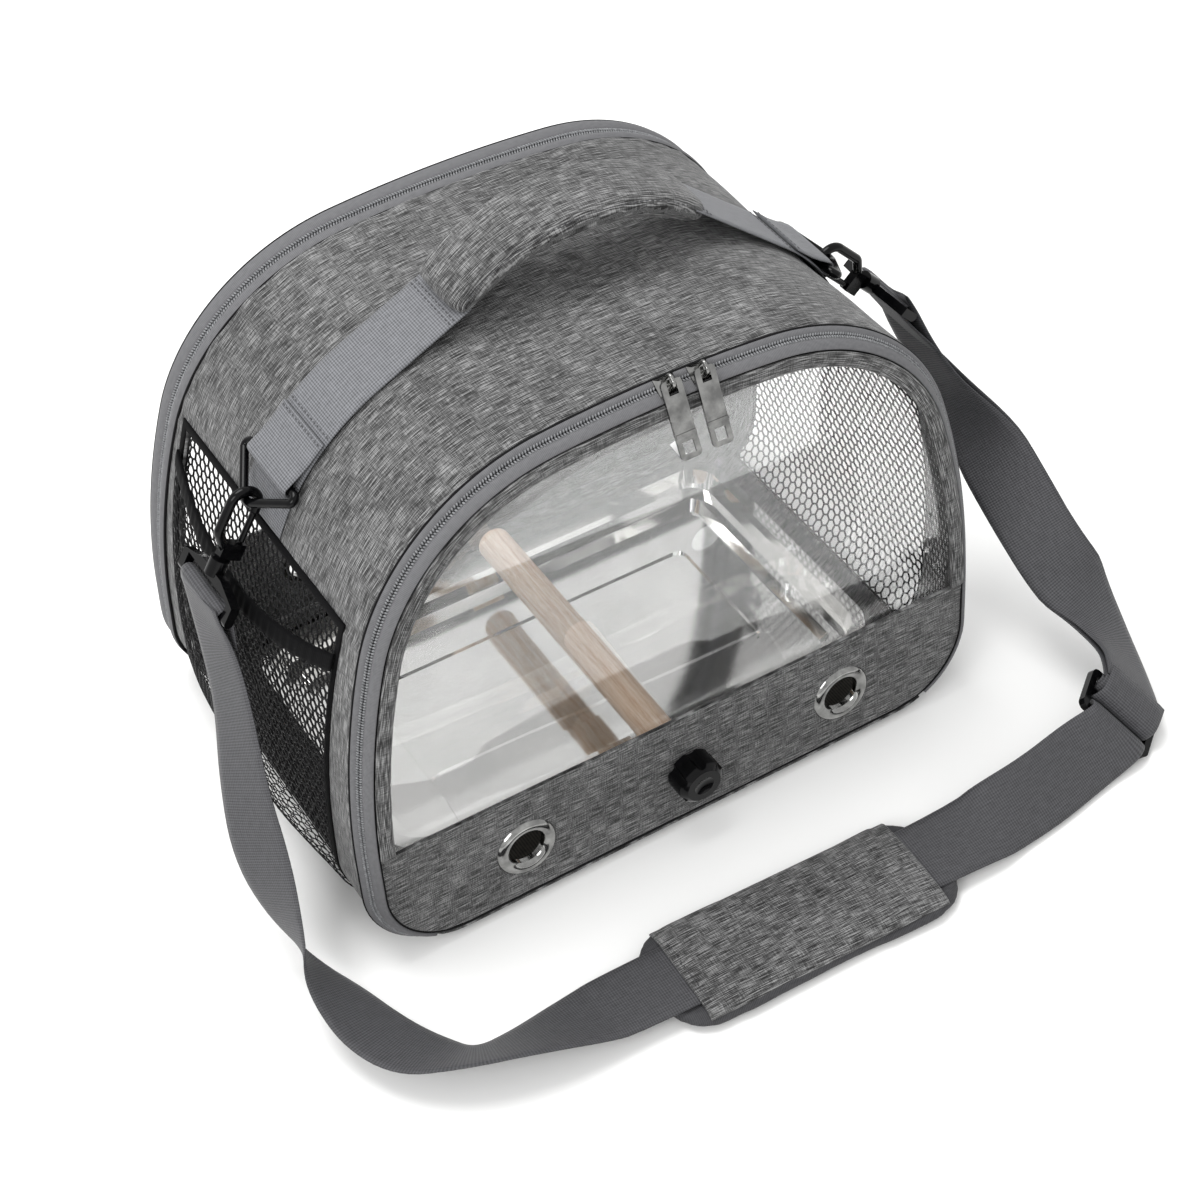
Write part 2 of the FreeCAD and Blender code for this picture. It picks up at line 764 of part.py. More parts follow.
def hook_axes(turn):
    """Direction of the right hook's shank and of its back."""
    a = math.radians(turn)
    return V(math.sin(a), 0, -math.cos(a)), V(math.cos(a), 0, math.sin(a))


def hook_centre(turn):
    """Middle of the right hook's bow, pulled down until it bears on the ring."""
    along, out = hook_axes(turn)
    return ring_apex() + along * (HOOK_BOW - HOOK_ROD / 2 - RING_BAR / 2 - HOOK_SEAT)


def hung(shape, turn):
    """Hang a hook piece from the right ring; its X runs down the shank."""
    along, out = hook_axes(turn)
    return placed(shape, hook_centre(turn), along, out)


THROAT = HOOK_LENGTH - HOOK_BLOCK
PIN_END = HOOK_LENGTH + COLLAR_LENGTH
BAR_AT = PIN_END + BASE_DROP


def hook():
    """Snap hook: spine, bow, throat block and swivel pin."""
    b = HOOK_BOW
    bend = HOOK_ROD * 0.8
    run = [V(HOOK_LENGTH, 0, 0), V(HOOK_LENGTH - HOOK_ROD, 0, 0),
           V(THROAT - HOOK_ROD, 0, b), V(0, 0, b)]
    edges = path(run, (bend, bend))
    edges.append(Part.Arc(V(0, 0, b), V(-b, 0, 0), V(0, 0, -b)).toShape())
    edges.append(Part.makeLine(V(0, 0, -b), V(GATE_DIA, 0, -b)))
    s = swept_rod(edges, HOOK_ROD)
    half = HOOK_ROD / 2
    block = box(THROAT, HOOK_LENGTH, -half, half, -b - half, half)
    pin = rod(V(HOOK_LENGTH - half, 0, 0), V(PIN_END, 0, 0), HOOK_ROD)
    return s.fuse([block, pin]).removeSplitter()


def gate():
    """Sprung gate that closes the hook."""
    start = V(GATE_DIA + GATE_GAP, 0, -HOOK_BOW)
    end = V(THROAT - GATE_GAP, 0, -HOOK_BOW)
    s = rod(start, end, GATE_DIA)
    rims = [e for e in s.Edges if e.Closed]
    return s.makeFillet(GATE_DIA / 3, rims)


def strap_base():
    """Swivel socket and strap frame below a hook."""
    socket = rod(V(HOOK_LENGTH + SWIVEL_GAP, 0, 0), V(PIN_END + HOOK_ROD / 2, 0, 0), COLLAR_DIA)
    half = STRAP_WIDTH / 2 + STRAP_ROOM
    out = half + BASE_RAIL
    t = BASE_RAIL / 2
    bar_x = BAR_AT
    outer = [V(PIN_END, -COLLAR_DIA, -t), V(PIN_END, COLLAR_DIA, -t), V(PIN_END + BASE_RAIL, out, -t),
             V(bar_x, out, -t), V(bar_x, -out, -t), V(PIN_END + BASE_RAIL, -out, -t)]
    plate_face = Part.Face(Part.makePolygon(outer + outer[:1]))
    frame = plate_face.extrude(V(0, 0, BASE_RAIL))
    frame = frame.cut(box(PIN_END + BASE_RAIL, FAR, -half, half, -t, t))
    bar = rod(V(bar_x, -out, 0), V(bar_x, out, 0), BASE_RAIL)
    hole = rod(V(HOOK_LENGTH, 0, 0), V(PIN_END + SWIVEL_GAP, 0, 0), HOOK_ROD + 2 * SWIVEL_FIT)
    return frame.fuse([socket, bar]).cut(hole).removeSplitter()


# Shoulder strap, pad and adjuster

def pad_point(along, z):
    """Point on the pad's long axis."""
    a = math.radians(PAD_TURN)
    return V(PAD_X + along * math.cos(a), PAD_Y + along * math.sin(a), z)


def pad():
    """Cushion with tapered ends, a rounded top and a sleeve for the strap."""
    x, y = PAD_LENGTH / 2, PAD_WIDTH / 2
    end = PAD_END / 2
    taper = x - PAD_TAPER
    ring_points = [V(0, -y, 0), V(taper, -y, 0), V(x, -end, 0), V(x, end, 0), V(taper, y, 0),
                   V(-taper, y, 0), V(-x, end, 0), V(-x, -end, 0), V(-taper, -y, 0), V(0, -y, 0)]
    radii = [PAD_ROUND] * (len(ring_points) - 2)
    face = Part.Face(Part.Wire(path(ring_points, radii)))
    face.translate(V(0, 0, PAD_LOW))
    s = face.extrude(V(0, 0, PAD_TOP - PAD_LOW))
    upper = [e for e in s.Edges if e.BoundBox.ZMin > PAD_TOP - 1e-3]
    s = s.makeFillet(PAD_CROWN, upper)
    half = STRAP_WIDTH / 2 + STRAP_ROOM
    slack = STRAP_THICK / 2 + PAD_FIT
    s = s.cut(box(-FAR, FAR, -half, half, PAD_STRAP_Z - slack, PAD_STRAP_Z + slack))
    inner = x - PAD_TUCK
    for x0, x1 in ((-FAR, -inner), (inner, FAR)):
        s = s.cut(box(x0, x1, -half, half, PAD_STRAP_Z, FAR))
    s.rotate(V(0, 0, 0), V(0, 0, 1), PAD_TURN)
    s.translate(V(PAD_X, PAD_Y, 0))
    return s


ADJ_S = V(ADJ_ALONG).normalize()
ADJ_W = (V(ADJ_WIDE) - ADJ_S * ADJ_S.dot(ADJ_WIDE)).normalize()
ADJ_N = ADJ_S.cross(ADJ_W)


def adjuster_point(s, n):
    """Point in the adjuster's own section."""
    return ADJUSTER + ADJ_S * s + ADJ_N * n


def adjuster():
    """Frame with two rails and a round centre bar."""
    half = STRAP_WIDTH / 2 + STRAP_ROOM
    out = half + ADJ_SIDE
    wire = round_rect(ADJ_RAIL_OUT, out, ADJ_SIDE, -ADJ_HALF_THICK)
    s = Part.Face(wire).extrude(V(0, 0, 2 * ADJ_HALF_THICK))
    s = s.cut(box(-ADJ_RAIL_IN, ADJ_RAIL_IN, -half, half, -FAR, FAR))
    s = s.fuse(rod(V(0, -half - ADJ_SIDE / 2, 0), V(0, half + ADJ_SIDE / 2, 0), ADJ_BAR)).removeSplitter()
    return placed(s, ADJUSTER, ADJ_S, ADJ_N)


# Route by hand: middle of the webbing and the direction of its width
LEFT_ROUTE = (
    (V(-203, -31, 127), V(0.16, -0.81, 0.56)),
    (V(-214, -58, 98), V(0.30, -0.80, 0.48)),
    (V(-219, -80, 67), V(0.45, -0.76, 0.42)),
    (V(-219, -102, 38), V(0.10, -0.75, 0.62)),
    (V(-216, -115, 23), V(-0.35, -0.63, 0.69)),
    (V(-211, -138, 15), V(-0.70, -0.52, 0.46)),
    (V(-205, -163, 11), V(-0.83, -0.45, 0.33)),
    (V(-194, -185, 11.5), V(-0.72, -0.58, 0.38)),
    (V(-175, -203, 16), V(-0.35, -0.63, 0.69)),
    (V(-146, -209, 16), V(-0.12, -0.82, 0.56)),
    (V(-116, -210, 11.5), V(0, -0.97, 0.24)),
)
RIGHT_FLOOR = (
    (V(128, -218.5, 13.5), V(0, -0.86, -0.50)),
    (V(158, -217, 15), V(0.18, -0.78, -0.60)),
    (V(190, -211, 15.5), V(0.30, -0.72, -0.62)),
)
RIGHT_ROUTE = (
    (V(246, -170, 24), V(0.50, -0.50, -0.70)),
    (V(246, -142, 40), V(0.55, -0.60, -0.58)),
    (V(238, -118, 62), V(0.50, -0.75, -0.43)),
    (V(235, -88, 86), V(0.45, -0.85, -0.27)),
    (V(233, -52, 114), V(0.30, -0.93, -0.20)),
    (V(219, -20, 150), V(0.10, -0.99, -0.10)),
)
ACROSS = V(0, -1, 0)
BAR_WRAP = (0, 45, 90, 135, 180)


def base_bar(side, turn):
    """Middle of the strap bar of a hook base."""
    along, out = hook_axes(turn)
    p = hook_centre(turn) + along * BAR_AT
    return V(side * p.x, p.y, p.z)


def wrap(centre, radius, first, last, wide):
    """Stations round a bar that lies along Y."""
    return [(polar(centre, radius, first + (last - first) * a / 180), wide) for a in BAR_WRAP]


def strap_stations():
    """Whole route of the webbing, from the sewn left end to the adjuster."""
    r = BASE_RAIL / 2 + STRAP_FIT + STRAP_THICK / 2
    left = base_bar(-1, HOOK_LEFT_TURN)
    right = base_bar(1, HOOK_RIGHT_TURN)
    drop = SEWN_DRIFT - V(0, 0, SEWN_LENGTH)
    apart = V(STRAP_THICK / 2 + STRAP_FIT / 2, 0, 0)
    stations = [(left + drop + apart, SEWN_WIDE)]
    stations += wrap(left, r, 0, 180, ACROSS)
    stations.append((left + drop - apart, SEWN_WIDE))
    stations += LEFT_ROUTE
    across = pad_point(0, 0) - pad_point(1, 0)
    across = V(-across.y, across.x, 0)
    for along in (-PAD_LENGTH / 2 - PAD_TUCK, PAD_LENGTH / 2 + PAD_TUCK):
        stations.append((pad_point(along, PAD_STRAP_Z), across))
    stations += RIGHT_FLOOR
    over = ADJ_BAR / 2 + 2 * STRAP_FIT + STRAP_THICK * 1.5 + STRAP_FIT
    under = -ADJ_HALF_THICK - STRAP_THICK - STRAP_FIT
    rail = ADJ_RAIL_OUT + STRAP_THICK
    near = over + STRAP_THICK
    stations += [(adjuster_point(-rail, under), ADJ_W), (adjuster_point(-near, under), ADJ_W)]
    for a in BAR_WRAP:
        t = math.radians(180 - a)
        stations.append((adjuster_point(over * math.cos(t), over * math.sin(t)), ADJ_W))
    stations += [(adjuster_point(near, under), ADJ_W), (adjuster_point(rail, under), ADJ_W)]
    stations += RIGHT_ROUTE
    reach = RIGHT_ROUTE[-1][0] - right
    lean = math.degrees(math.atan2(reach.x, -reach.z))
    stations += wrap(right, r, 180 + lean, lean, ACROSS)
    stations += [layer_above(i) for i in reversed(range(len(RIGHT_ROUTE)))]
    low = under - LAYER_GAP
    loop = ADJ_BAR / 2 + STRAP_FIT + STRAP_THICK / 2
    stations += [(adjuster_point(rail, low), ADJ_W), (adjuster_point(near, low), ADJ_W),
                 (adjuster_point(loop + STRAP_FIT, under), ADJ_W)]
    for a in BAR_WRAP:
        t = math.radians(a)
        stations.append((adjuster_point(loop * math.cos(t), loop * math.sin(t)), ADJ_W))
    end = low - LAYER_GAP
    stations += [(adjuster_point(-loop, under), ADJ_W), (adjuster_point(0, end), ADJ_W),
                 (adjuster_point(rail, end), ADJ_W)]
    return stations


def layer_above(i):
    """Returning layer of webbing outside one point of the right route."""
    point, wide = RIGHT_ROUTE[i]
    before = RIGHT_ROUTE[max(i - 1, 0)][0]
    after = RIGHT_ROUTE[min(i + 1, len(RIGHT_ROUTE) - 1)][0]
    out = (after - before).cross(wide).normalize()
    return (point - out * LAYER_GAP, wide)


def ribbon(stations, width, thick):
    """Flat webbing through a row of stations."""
    wires = []
    last = len(stations) - 1
    for i, (point, wide) in enumerate(stations):
        w = V(wide).normalize()
        along = stations[min(i + 1, last)][0] - stations[max(i - 1, 0)][0]
        n = along.cross(w).normalize()
        side, up = w * (width / 2), n * (thick / 2)
        corners = [point - side - up, point + side - up, point + side + up, point - side + up]
        wires.append(Part.makePolygon(corners + corners[:1]))
    return Part.makeLoft(wires, True, True)


# Sliders and pulls, drawn on the zipper band

SEAT = COIL_PROUD + SLIDER_CLEAR
BODY_TOP = SEAT + SLIDER_HEIGHT
BAIL_TOP = BODY_TOP + BAIL_HEIGHT
CROSSBAR = BODY_TOP + BAIL_HEIGHT / 2 - BAIL_ROD / 4


def slider_spots(lie):
    """Arc centre, radius and angle of the two sliders: at the front's crown or at the back's right side."""
    a = arch(band_offset(COIL_MEET, lie))
    if lie == FRONT_LIE:
        return [(a["c3"], a["r3"], math.degrees(math.acos(x / a["r3"]))) for x in SLIDER_X]
    return [(a["c1"], a["r1"], turn) for turn in BACK_SLIDER_TURN]


def on_zip(shape, lie, spot):
    """Set a piece on the zipper band at an angle round one arc of the seam."""
    centre, radius, turn = spot
    drop, deep = lie
    s = placed(shape, V(0, 0, 0), V(1, 0, 0), V(0, -drop, deep))
    s.rotate(V(0, 0, 0), V(0, 1, 0), 90 - turn)
    s.translate(polar(centre, radius, turn) + V(0, deep * COIL_MEET, 0))
    return s


def rect(half_x, half_y, z):
    """Rectangle at a height."""
    corners = [V(-half_x, -half_y, z), V(half_x, -half_y, z),
               V(half_x, half_y, z), V(-half_x, half_y, z)]
    return Part.makePolygon(corners + corners[:1])


def slider():
    """Slider body with a bail for the pull."""
    x, y = SLIDER_LENGTH / 2, SLIDER_WIDTH / 2
    body = Part.makeLoft([rect(x, y, SEAT), rect(x, y, SEAT + SLIDER_HEIGHT / 3),
                          rect(SLIDER_CROWN[0] / 2, SLIDER_CROWN[1] / 2, BODY_TOP)], True, True)
    post = BAIL_SPAN / 2
    arch_points = [V(0, -post, BODY_TOP - BAIL_ROD), V(0, -post, BAIL_TOP), V(0, post, BAIL_TOP),
                   V(0, post, BODY_TOP - BAIL_ROD)]
    bail = swept_rod(path(arch_points, (BAIL_ROD, BAIL_ROD)), BAIL_ROD)
    return body.fuse(bail).removeSplitter()


def pull():
    """Pull tab with a slot at the bail, a raised bar and a window at the end."""
    top = PULL_THICK / 2 + PULL_FIT / 4
    w, t = PULL_WIDTH / 2, PULL_THICK / 2
    s = box(-w, w, -t, t, top - PULL_LENGTH, top)
    corner = [e for e in s.Edges if abs(e.Length - PULL_THICK) < 1e-6]
    s = s.makeFillet(PULL_WIDTH / 5, corner)
    slot = PULL_SLOT / 2
    s = s.cut(box(-slot, slot, -FAR, FAR, -top - PULL_SLOT - PULL_FIT, -top))
    low = top - PULL_LENGTH + (PULL_WIDTH - PULL_WINDOW) / 2
    half = PULL_WINDOW / 2
    s = s.cut(box(-half, half, -FAR, FAR, low, low + PULL_WINDOW))
    rib = low + PULL_WINDOW + PULL_SLOT / 2
    bar = box(-w, w, -t - PULL_THICK / 2, t, rib, rib + PULL_THICK)
    return s.fuse(bar).removeSplitter()


def hung_pull(lie):
    """Pull on its bail: hanging over the front door, or folded forward along the gusset at the back."""
    s = pull()
    if lie == FRONT_LIE:
        swing = math.degrees(math.atan2(BAND_BACK, BAND_OUT)) - PULL_TILT - 90
    else:
        s = s.mirror(V(0, 0, 0), V(0, 1, 0))
        swing = 90 - BACK_PULL_LEAN
    s.rotate(V(0, 0, 0), V(1, 0, 0), swing)
    s.translate(V(0, 0, CROSSBAR))
    return s


# Nodes

WEBS = {"left": (LEFT_LIFT_PHI, -GRIP_LEFT_X), "right": (RIGHT_LIFT_PHI, GRIP_RIGHT_X)}
TURNS = {"left": HOOK_LEFT_TURN, "right": HOOK_RIGHT_TURN}

write("gusset", gusset())
write("base_board", base_board())
write("handle_grip", grip())
write("tray", tray())
write("shoulder_strap", ribbon(strap_stations(), STRAP_WIDTH, STRAP_THICK))
write("shoulder_pad", pad())
write("adjuster", adjuster())

for side, flip in (("left", lambda s: s), ("right", mirrored)):
    write(side + "_mesh_window", flip(mesh_window()))
    write(side + "_window_binding", flip(window_binding()))

write("left_pocket", pocket())
write("left_pocket_hem", pocket_hem())

for side, flip in (("left", mirrored), ("right", lambda s: s)):
    write(side + "_handle_web", flip(handle_web(*WEBS[side])))
    write(side + "_ring", flip(ring()))
    write(side + "_hook", flip(hung(hook(), TURNS[side])))
    write(side + "_gate", flip(hung(gate(), TURNS[side])))
    write(side + "_strap_base", flip(hung(strap_base(), TURNS[side])))

for side, stand, lie in (("front", front, FRONT_LIE), ("back", back, BACK_LIE)):
    edge = band_offset(0, lie)
    write(side + "_outer_tape", grounded(stand(zip_part(OUTER_TAPE_START, 1, TAPE_THICK, 0, lie))))
    write(side + "_outer_coil", stand(coil(COIL_MEET + BAND_GAP, OUTER_TAPE_START, lie)))
    write(side + "_inner_coil", stand(coil(INNER_TAPE_END, COIL_MEET, lie)))
    write(side + "_inner_tape", stand(zip_part(0, INNER_TAPE_END, TAPE_THICK, 0, lie)))
    write(side + "_sill", grounded(stand(sill(lie))))
    write(side + "_border", stand(border(edge)))
    write(side + "_window", stand(clear_window(edge)))
    write(side + "_eyelets", stand(eyelets()))
    for hand, spot in zip(("left", "right"), slider_spots(lie)):
        write("%s_%s_slider" % (side, hand), stand(on_zip(slider(), lie, spot)))
        write("%s_%s_pull" % (side, hand), stand(on_zip(hung_pull(lie), lie, spot)))

STUD_PASS = axle_rod(KNOB_FACE, PERCH_FACE, STUD_DIA + 1)
write("front_strip", front(strip(0)).cut(STUD_PASS))
write("back_strip", back(strip(band_offset(0, BACK_LIE))))
write("perch", perch())
write("perch_washer", perch_washer())
write("perch_stud", perch_stud())
write("knob", knob())
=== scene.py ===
import math

import bmesh
import bpy
import numpy as np
from mathutils import Matrix, Vector
from mathutils.bvhtree import BVHTree


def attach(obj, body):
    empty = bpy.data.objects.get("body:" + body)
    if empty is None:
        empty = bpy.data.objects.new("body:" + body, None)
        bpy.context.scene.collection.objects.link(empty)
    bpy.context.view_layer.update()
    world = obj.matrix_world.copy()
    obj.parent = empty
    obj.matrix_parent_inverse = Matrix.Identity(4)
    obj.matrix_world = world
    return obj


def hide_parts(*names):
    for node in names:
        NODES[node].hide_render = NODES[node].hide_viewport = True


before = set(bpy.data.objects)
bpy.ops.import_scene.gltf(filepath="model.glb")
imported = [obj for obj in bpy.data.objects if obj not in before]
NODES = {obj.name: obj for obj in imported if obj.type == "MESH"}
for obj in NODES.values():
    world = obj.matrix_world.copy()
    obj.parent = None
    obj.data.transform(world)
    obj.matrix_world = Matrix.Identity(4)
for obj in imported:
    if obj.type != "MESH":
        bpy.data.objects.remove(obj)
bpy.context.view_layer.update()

MM = 0.001

# Sizes of the bag in millimetres, as the solids have them
HALF_WIDTH = 175.0
DOOR_LIFT = 7.0
SIDE_RISE = 64.0
SIDE_RADIUS = 440.0
SIDE_TURN = 16.0
SHOULDER_RADIUS = 111.0
SHOULDER_TURN = 68.5
CORNER_RADIUS = 43.0
HALF_DEPTH = 125.75
DOOR_LEAN = math.radians(4.27)
BAND_OUT = 7.0
BAND_LIE = {"front": (7.0, 9.0), "back": (1.5, 17.0)}
GUSSET_THICK = 2.5
WINDOW_HALF_DEPTH = 82.0
WINDOW_LOW = 17.0
WINDOW_HIGH = 199.0
STRIP_TOP = 77.5
ZIP_END_X = 151.0
EYELET_X = 96.0
EYELET_Z = 40.0
STRAP_WIDTH = 40.0
KNOB_Z = 41.0

# Sizes of the drawn pieces in millimetres
SIDE_FROM = 60
BORDER_SEEN = 8.0
KNOB_HOLE = 5.0
EYELET_HOLE = 13.0
CLOTH_THICK = 1.9
TAPE_THICK = 1.2
SHEET_THICK = 0.6
BINDING_WIDTH = 4.5
BINDING_THICK = 0.8
HEM_THICK = 1.4
WEB_THICK = 1.5
STRAP_THICK = 1.6
DOOR_CORD = 1.1
GUSSET_CORD = 0.8
FLOOR_GAP = 0.3


# Seam outline of the doors, from the middle of the foot round to the right and over the top

def seam_arcs():
    """Centre, radius and angles of each arc of the right half, with the straight runs between."""
    w, low = HALF_WIDTH, DOOR_LIFT
    c0 = (w - CORNER_RADIUS, low + CORNER_RADIUS)
    c1 = (w - SIDE_RADIUS, low + SIDE_RISE)
    turn = math.radians(SIDE_TURN)
    top = math.radians(SIDE_TURN + SHOULDER_TURN)
    gap = SIDE_RADIUS - SHOULDER_RADIUS
    c2 = (c1[0] + gap * math.cos(turn), c1[1] + gap * math.sin(turn))
    r3 = c2[0] / math.cos(top) + SHOULDER_RADIUS
    c3 = (0.0, c2[1] + SHOULDER_RADIUS * math.sin(top) - r3 * math.sin(top))
    return [(c0, CORNER_RADIUS, -math.pi / 2, 0), (c1, SIDE_RADIUS, 0, turn),
            (c2, SHOULDER_RADIUS, turn, top), (c3, r3, top, math.pi / 2)]


ARCS = seam_arcs()
SHOULDER = ARCS[2][0]


def seam_half(step):
    """Points and outward normals of the right half of the seam, about one step apart."""
    pts, nrm = [], []

    def straight(p, q, n):
        count = max(1, round(np.linalg.norm(q - p) / step))
        for i in range(count):
            pts.append(p + (q - p) * i / count)
            nrm.append(n)

    straight(np.array([0.0, DOOR_LIFT]), np.array([ARCS[0][0][0], DOOR_LIFT]), np.array([0.0, -1.0]))
    for i, (c, r, a0, a1) in enumerate(ARCS):
        count = max(2, round(r * (a1 - a0) / step))
        for k in range(count):
            a = a0 + (a1 - a0) * k / count
            n = np.array([math.cos(a), math.sin(a)])
            pts.append(np.array(c) + r * n)
            nrm.append(n)
        if i == 0:
            foot = np.array([HALF_WIDTH, DOOR_LIFT + CORNER_RADIUS])
            straight(foot, np.array([HALF_WIDTH, DOOR_LIFT + SIDE_RISE]), np.array([1.0, 0.0]))
    c, r, _, a1 = ARCS[-1]
    pts.append(np.array(c) + r * np.array([math.cos(a1), math.sin(a1)]))
    nrm.append(np.array([0.0, 1.0]))
    return np.array(pts), np.array(nrm)


def mirrored(half):
    """Closed row of points or normals from its right half."""
    return np.vstack([half, half[-2:0:-1] * np.array([-1.0, 1.0])])


def seam(step):
    """Points and outward normals of the whole seam, closed, starting at the middle of the foot."""
    p, n = seam_half(step)
    return mirrored(p), mirrored(n)


def zip_line(step):
    """Part of the seam that the zipper follows, from its right end over the crown to its left end."""
    p, n = seam(step)
    mid = p + 4 * n
    keep = (np.abs(mid[:, 0]) >= ZIP_END_X) | (mid[:, 1] > DOOR_LIFT + CORNER_RADIUS)
    return p[keep], n[keep]


def stand_door(flat, side):
    """Door points drawn flat (x, depth, z) set in the leaning front or back door."""
    flat = np.asarray(flat, float)
    x, y, z = flat[..., 0], flat[..., 1], flat[..., 2] - DOOR_LIFT
    c, s = math.cos(DOOR_LEAN), math.sin(DOOR_LEAN)
    out = np.stack([x, y * c + z * s - HALF_DEPTH, DOOR_LIFT - y * s + z * c], -1)
    if side == "back":
        out[..., 1] *= -1
    return out


def edge_depth(z, side):
    """Distance from the bag's middle to the front or back edge of the gusset at a height."""
    return HALF_DEPTH - BAND_LIE[side][1] / math.cos(DOOR_LEAN) - (z - DOOR_LIFT) * math.tan(DOOR_LEAN)


def side_x(z, offset):
    """Half width of the bag at a height below the shoulder."""
    rc = CORNER_RADIUS + offset
    corner_z = DOOR_LIFT + CORNER_RADIUS
    w = HALF_WIDTH + offset
    if z < corner_z:
        return w - rc + math.sqrt(max(rc ** 2 - (corner_z - z) ** 2, 0))
    if z < DOOR_LIFT + SIDE_RISE:
        return w
    r = SIDE_RADIUS + offset
    return w - r + math.sqrt(r ** 2 - (z - DOOR_LIFT - SIDE_RISE) ** 2)


# Meshes and pieces

def sheet_mesh(name, grid, uv, closed_u=False, keep=None):
    """Quad mesh over a grid of points in millimetres, with its flat size as the UV map in metres."""
    grid = np.asarray(grid, float)
    nu, nv = grid.shape[:2]
    mesh = bpy.data.meshes.new(name)
    faces, corners = [], []
    for i in range(nu if closed_u else nu - 1):
        j = (i + 1) % nu
        for k in range(nv - 1):
            if keep is None or keep[i][k]:
                faces.append((i * nv + k, j * nv + k, j * nv + k + 1, i * nv + k + 1))
                corners.append(((i, k), (i + 1, k), (i + 1, k + 1), (i, k + 1)))
    mesh.from_pydata([tuple(p) for p in (grid * MM).reshape(-1, 3)], [], faces)
    layer = mesh.uv_layers.new(name="flat")
    flat = [uv[a][b] for face in corners for a, b in face]
    layer.data.foreach_set("uv", (np.array(flat, float) * MM).astype(np.float32).ravel())
    return mesh


def lengths(points):
    """Running length along a row of points."""
    d = np.linalg.norm(np.diff(np.asarray(points, float), axis=0), axis=1)
    return np.concatenate([[0.0], np.cumsum(d)])


def flat_grid(us, vs):
    """UV grid from the running lengths along both directions."""
    return [[(u, v) for v in vs] for u in us]


def tidy(mesh, outward=True):
    """Merge doubles, drop loose points and turn the faces outwards."""
    bm = bmesh.new()
    bm.from_mesh(mesh)
    bmesh.ops.remove_doubles(bm, verts=bm.verts, dist=1e-6)
    loose = [v for v in bm.verts if not v.link_faces]
    bmesh.ops.delete(bm, geom=loose, context="VERTS")
    if outward:
        bmesh.ops.recalc_face_normals(bm, faces=bm.faces)
    bm.to_mesh(mesh)
    bm.free()
    return mesh


def capped(mesh, merge=0.0):
    """Tube with its open ends filled, its doubles merged first if asked."""
    bm = bmesh.new()
    bm.from_mesh(mesh)
    if merge:
        bmesh.ops.remove_doubles(bm, verts=bm.verts, dist=merge)
    bmesh.ops.holes_fill(bm, edges=[e for e in bm.edges if e.is_boundary], sides=0)
    bmesh.ops.recalc_face_normals(bm, faces=bm.faces)
    bm.to_mesh(mesh)
    bm.free()
    return mesh


def baked(obj):
    """Plain mesh of an object with its modifiers applied; the object goes."""
    bpy.context.view_layer.update()
    graph = bpy.context.evaluated_depsgraph_get()
    mesh = bpy.data.meshes.new_from_object(obj.evaluated_get(graph), depsgraph=graph)
    bpy.data.objects.remove(obj)
    return mesh


def loose_object(name, mesh):
    """Object in the scene that isn't a piece, or not yet."""
    obj = bpy.data.objects.new(name, mesh)
    bpy.context.scene.collection.objects.link(obj)
    return obj


def thickened(mesh, thick, rounding=0.0):
    """Sheet with a wall thickness in millimetres, its edges rounded if asked."""
    obj = loose_object("sheet", mesh)
    m = obj.modifiers.new("wall", "SOLIDIFY")
    m.thickness, m.offset = thick * MM, -1.0
    if rounding:
        b = obj.modifiers.new("edge", "BEVEL")
        b.width, b.segments, b.limit_method = rounding * MM, 2, "ANGLE"
    return baked(obj)


def piece(name, mesh, material, body, stands_for=(), smooth=True):
    """Finished piece in the frame: its material, the body it rides on and the nodes it stands for."""
    obj = loose_object(name, mesh)
    mesh.materials.clear()
    mesh.materials.append(material)
    if smooth:
        mesh.shade_smooth()
    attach(obj, body)
    if stands_for:
        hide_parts(*stands_for)
    return obj


def joined(meshes):
    """One mesh out of several."""
    bm = bmesh.new()
    for m in meshes:
        bm.from_mesh(m)
    out = bpy.data.meshes.new("joined")
    bm.to_mesh(out)
    bm.free()
    return out


def unit(v):
    """Vectors of length one."""
    v = np.asarray(v, float)
    return v / np.linalg.norm(v, axis=-1, keepdims=True)


def swept(name, points, wide, profile):
    """Section swept along points; the profile is (across, above) pairs, UV runs along and round it."""
    points, wide = np.asarray(points, float), np.asarray(wide, float)
    along = unit(np.gradient(points, axis=0))
    wide = unit(wide - along * np.sum(along * wide, -1, keepdims=True))
    up = np.cross(along, wide)
    prof = np.asarray(list(profile) + [profile[0]], float)
    grid = points[:, None] + prof[None, :, 0:1] * wide[:, None] + prof[None, :, 1:2] * up[:, None]
    mesh = sheet_mesh(name, grid, flat_grid(lengths(points), lengths(prof)))
    return capped(mesh, 1e-7)


def webbing_profile(width, thick):
    """Flat woven band with thin rounded selvedges."""
    xs = np.linspace(-1, 1, 11)
    half = thick / 2 * np.clip((1 - np.abs(xs) ** 12), 0.35, 1)
    top = [(x * width / 2, h) for x, h in zip(xs, half)]
    low = [(x * width / 2, -h) for x, h in zip(xs[::-1], half[::-1])]
    return top + low


# Finishes. Scales are worked out from real sizes; a wave of scale one repeats every tenth of pi.

WAVE = math.pi / 10


def rgb(hex_colour):
    """sRGB hex to a linear colour."""
    parts = [int(hex_colour[i:i + 2], 16) / 255 for i in (1, 3, 5)]
    lin = [c / 12.92 if c <= 0.04045 else ((c + 0.055) / 1.055) ** 2.4 for c in parts]
    return (*lin, 1.0)


def add(tree, kind, inputs=None, **settings):
    """Add a node with its settings; inputs are values or sockets to link."""
    node = tree.nodes.new(kind)
    for key, value in settings.items():
        setattr(node, key, value)
    for key, value in (inputs or {}).items():
        if isinstance(value, bpy.types.NodeSocket):
            tree.links.new(value, node.inputs[key])
        else:
            node.inputs[key].default_value = value
    return node


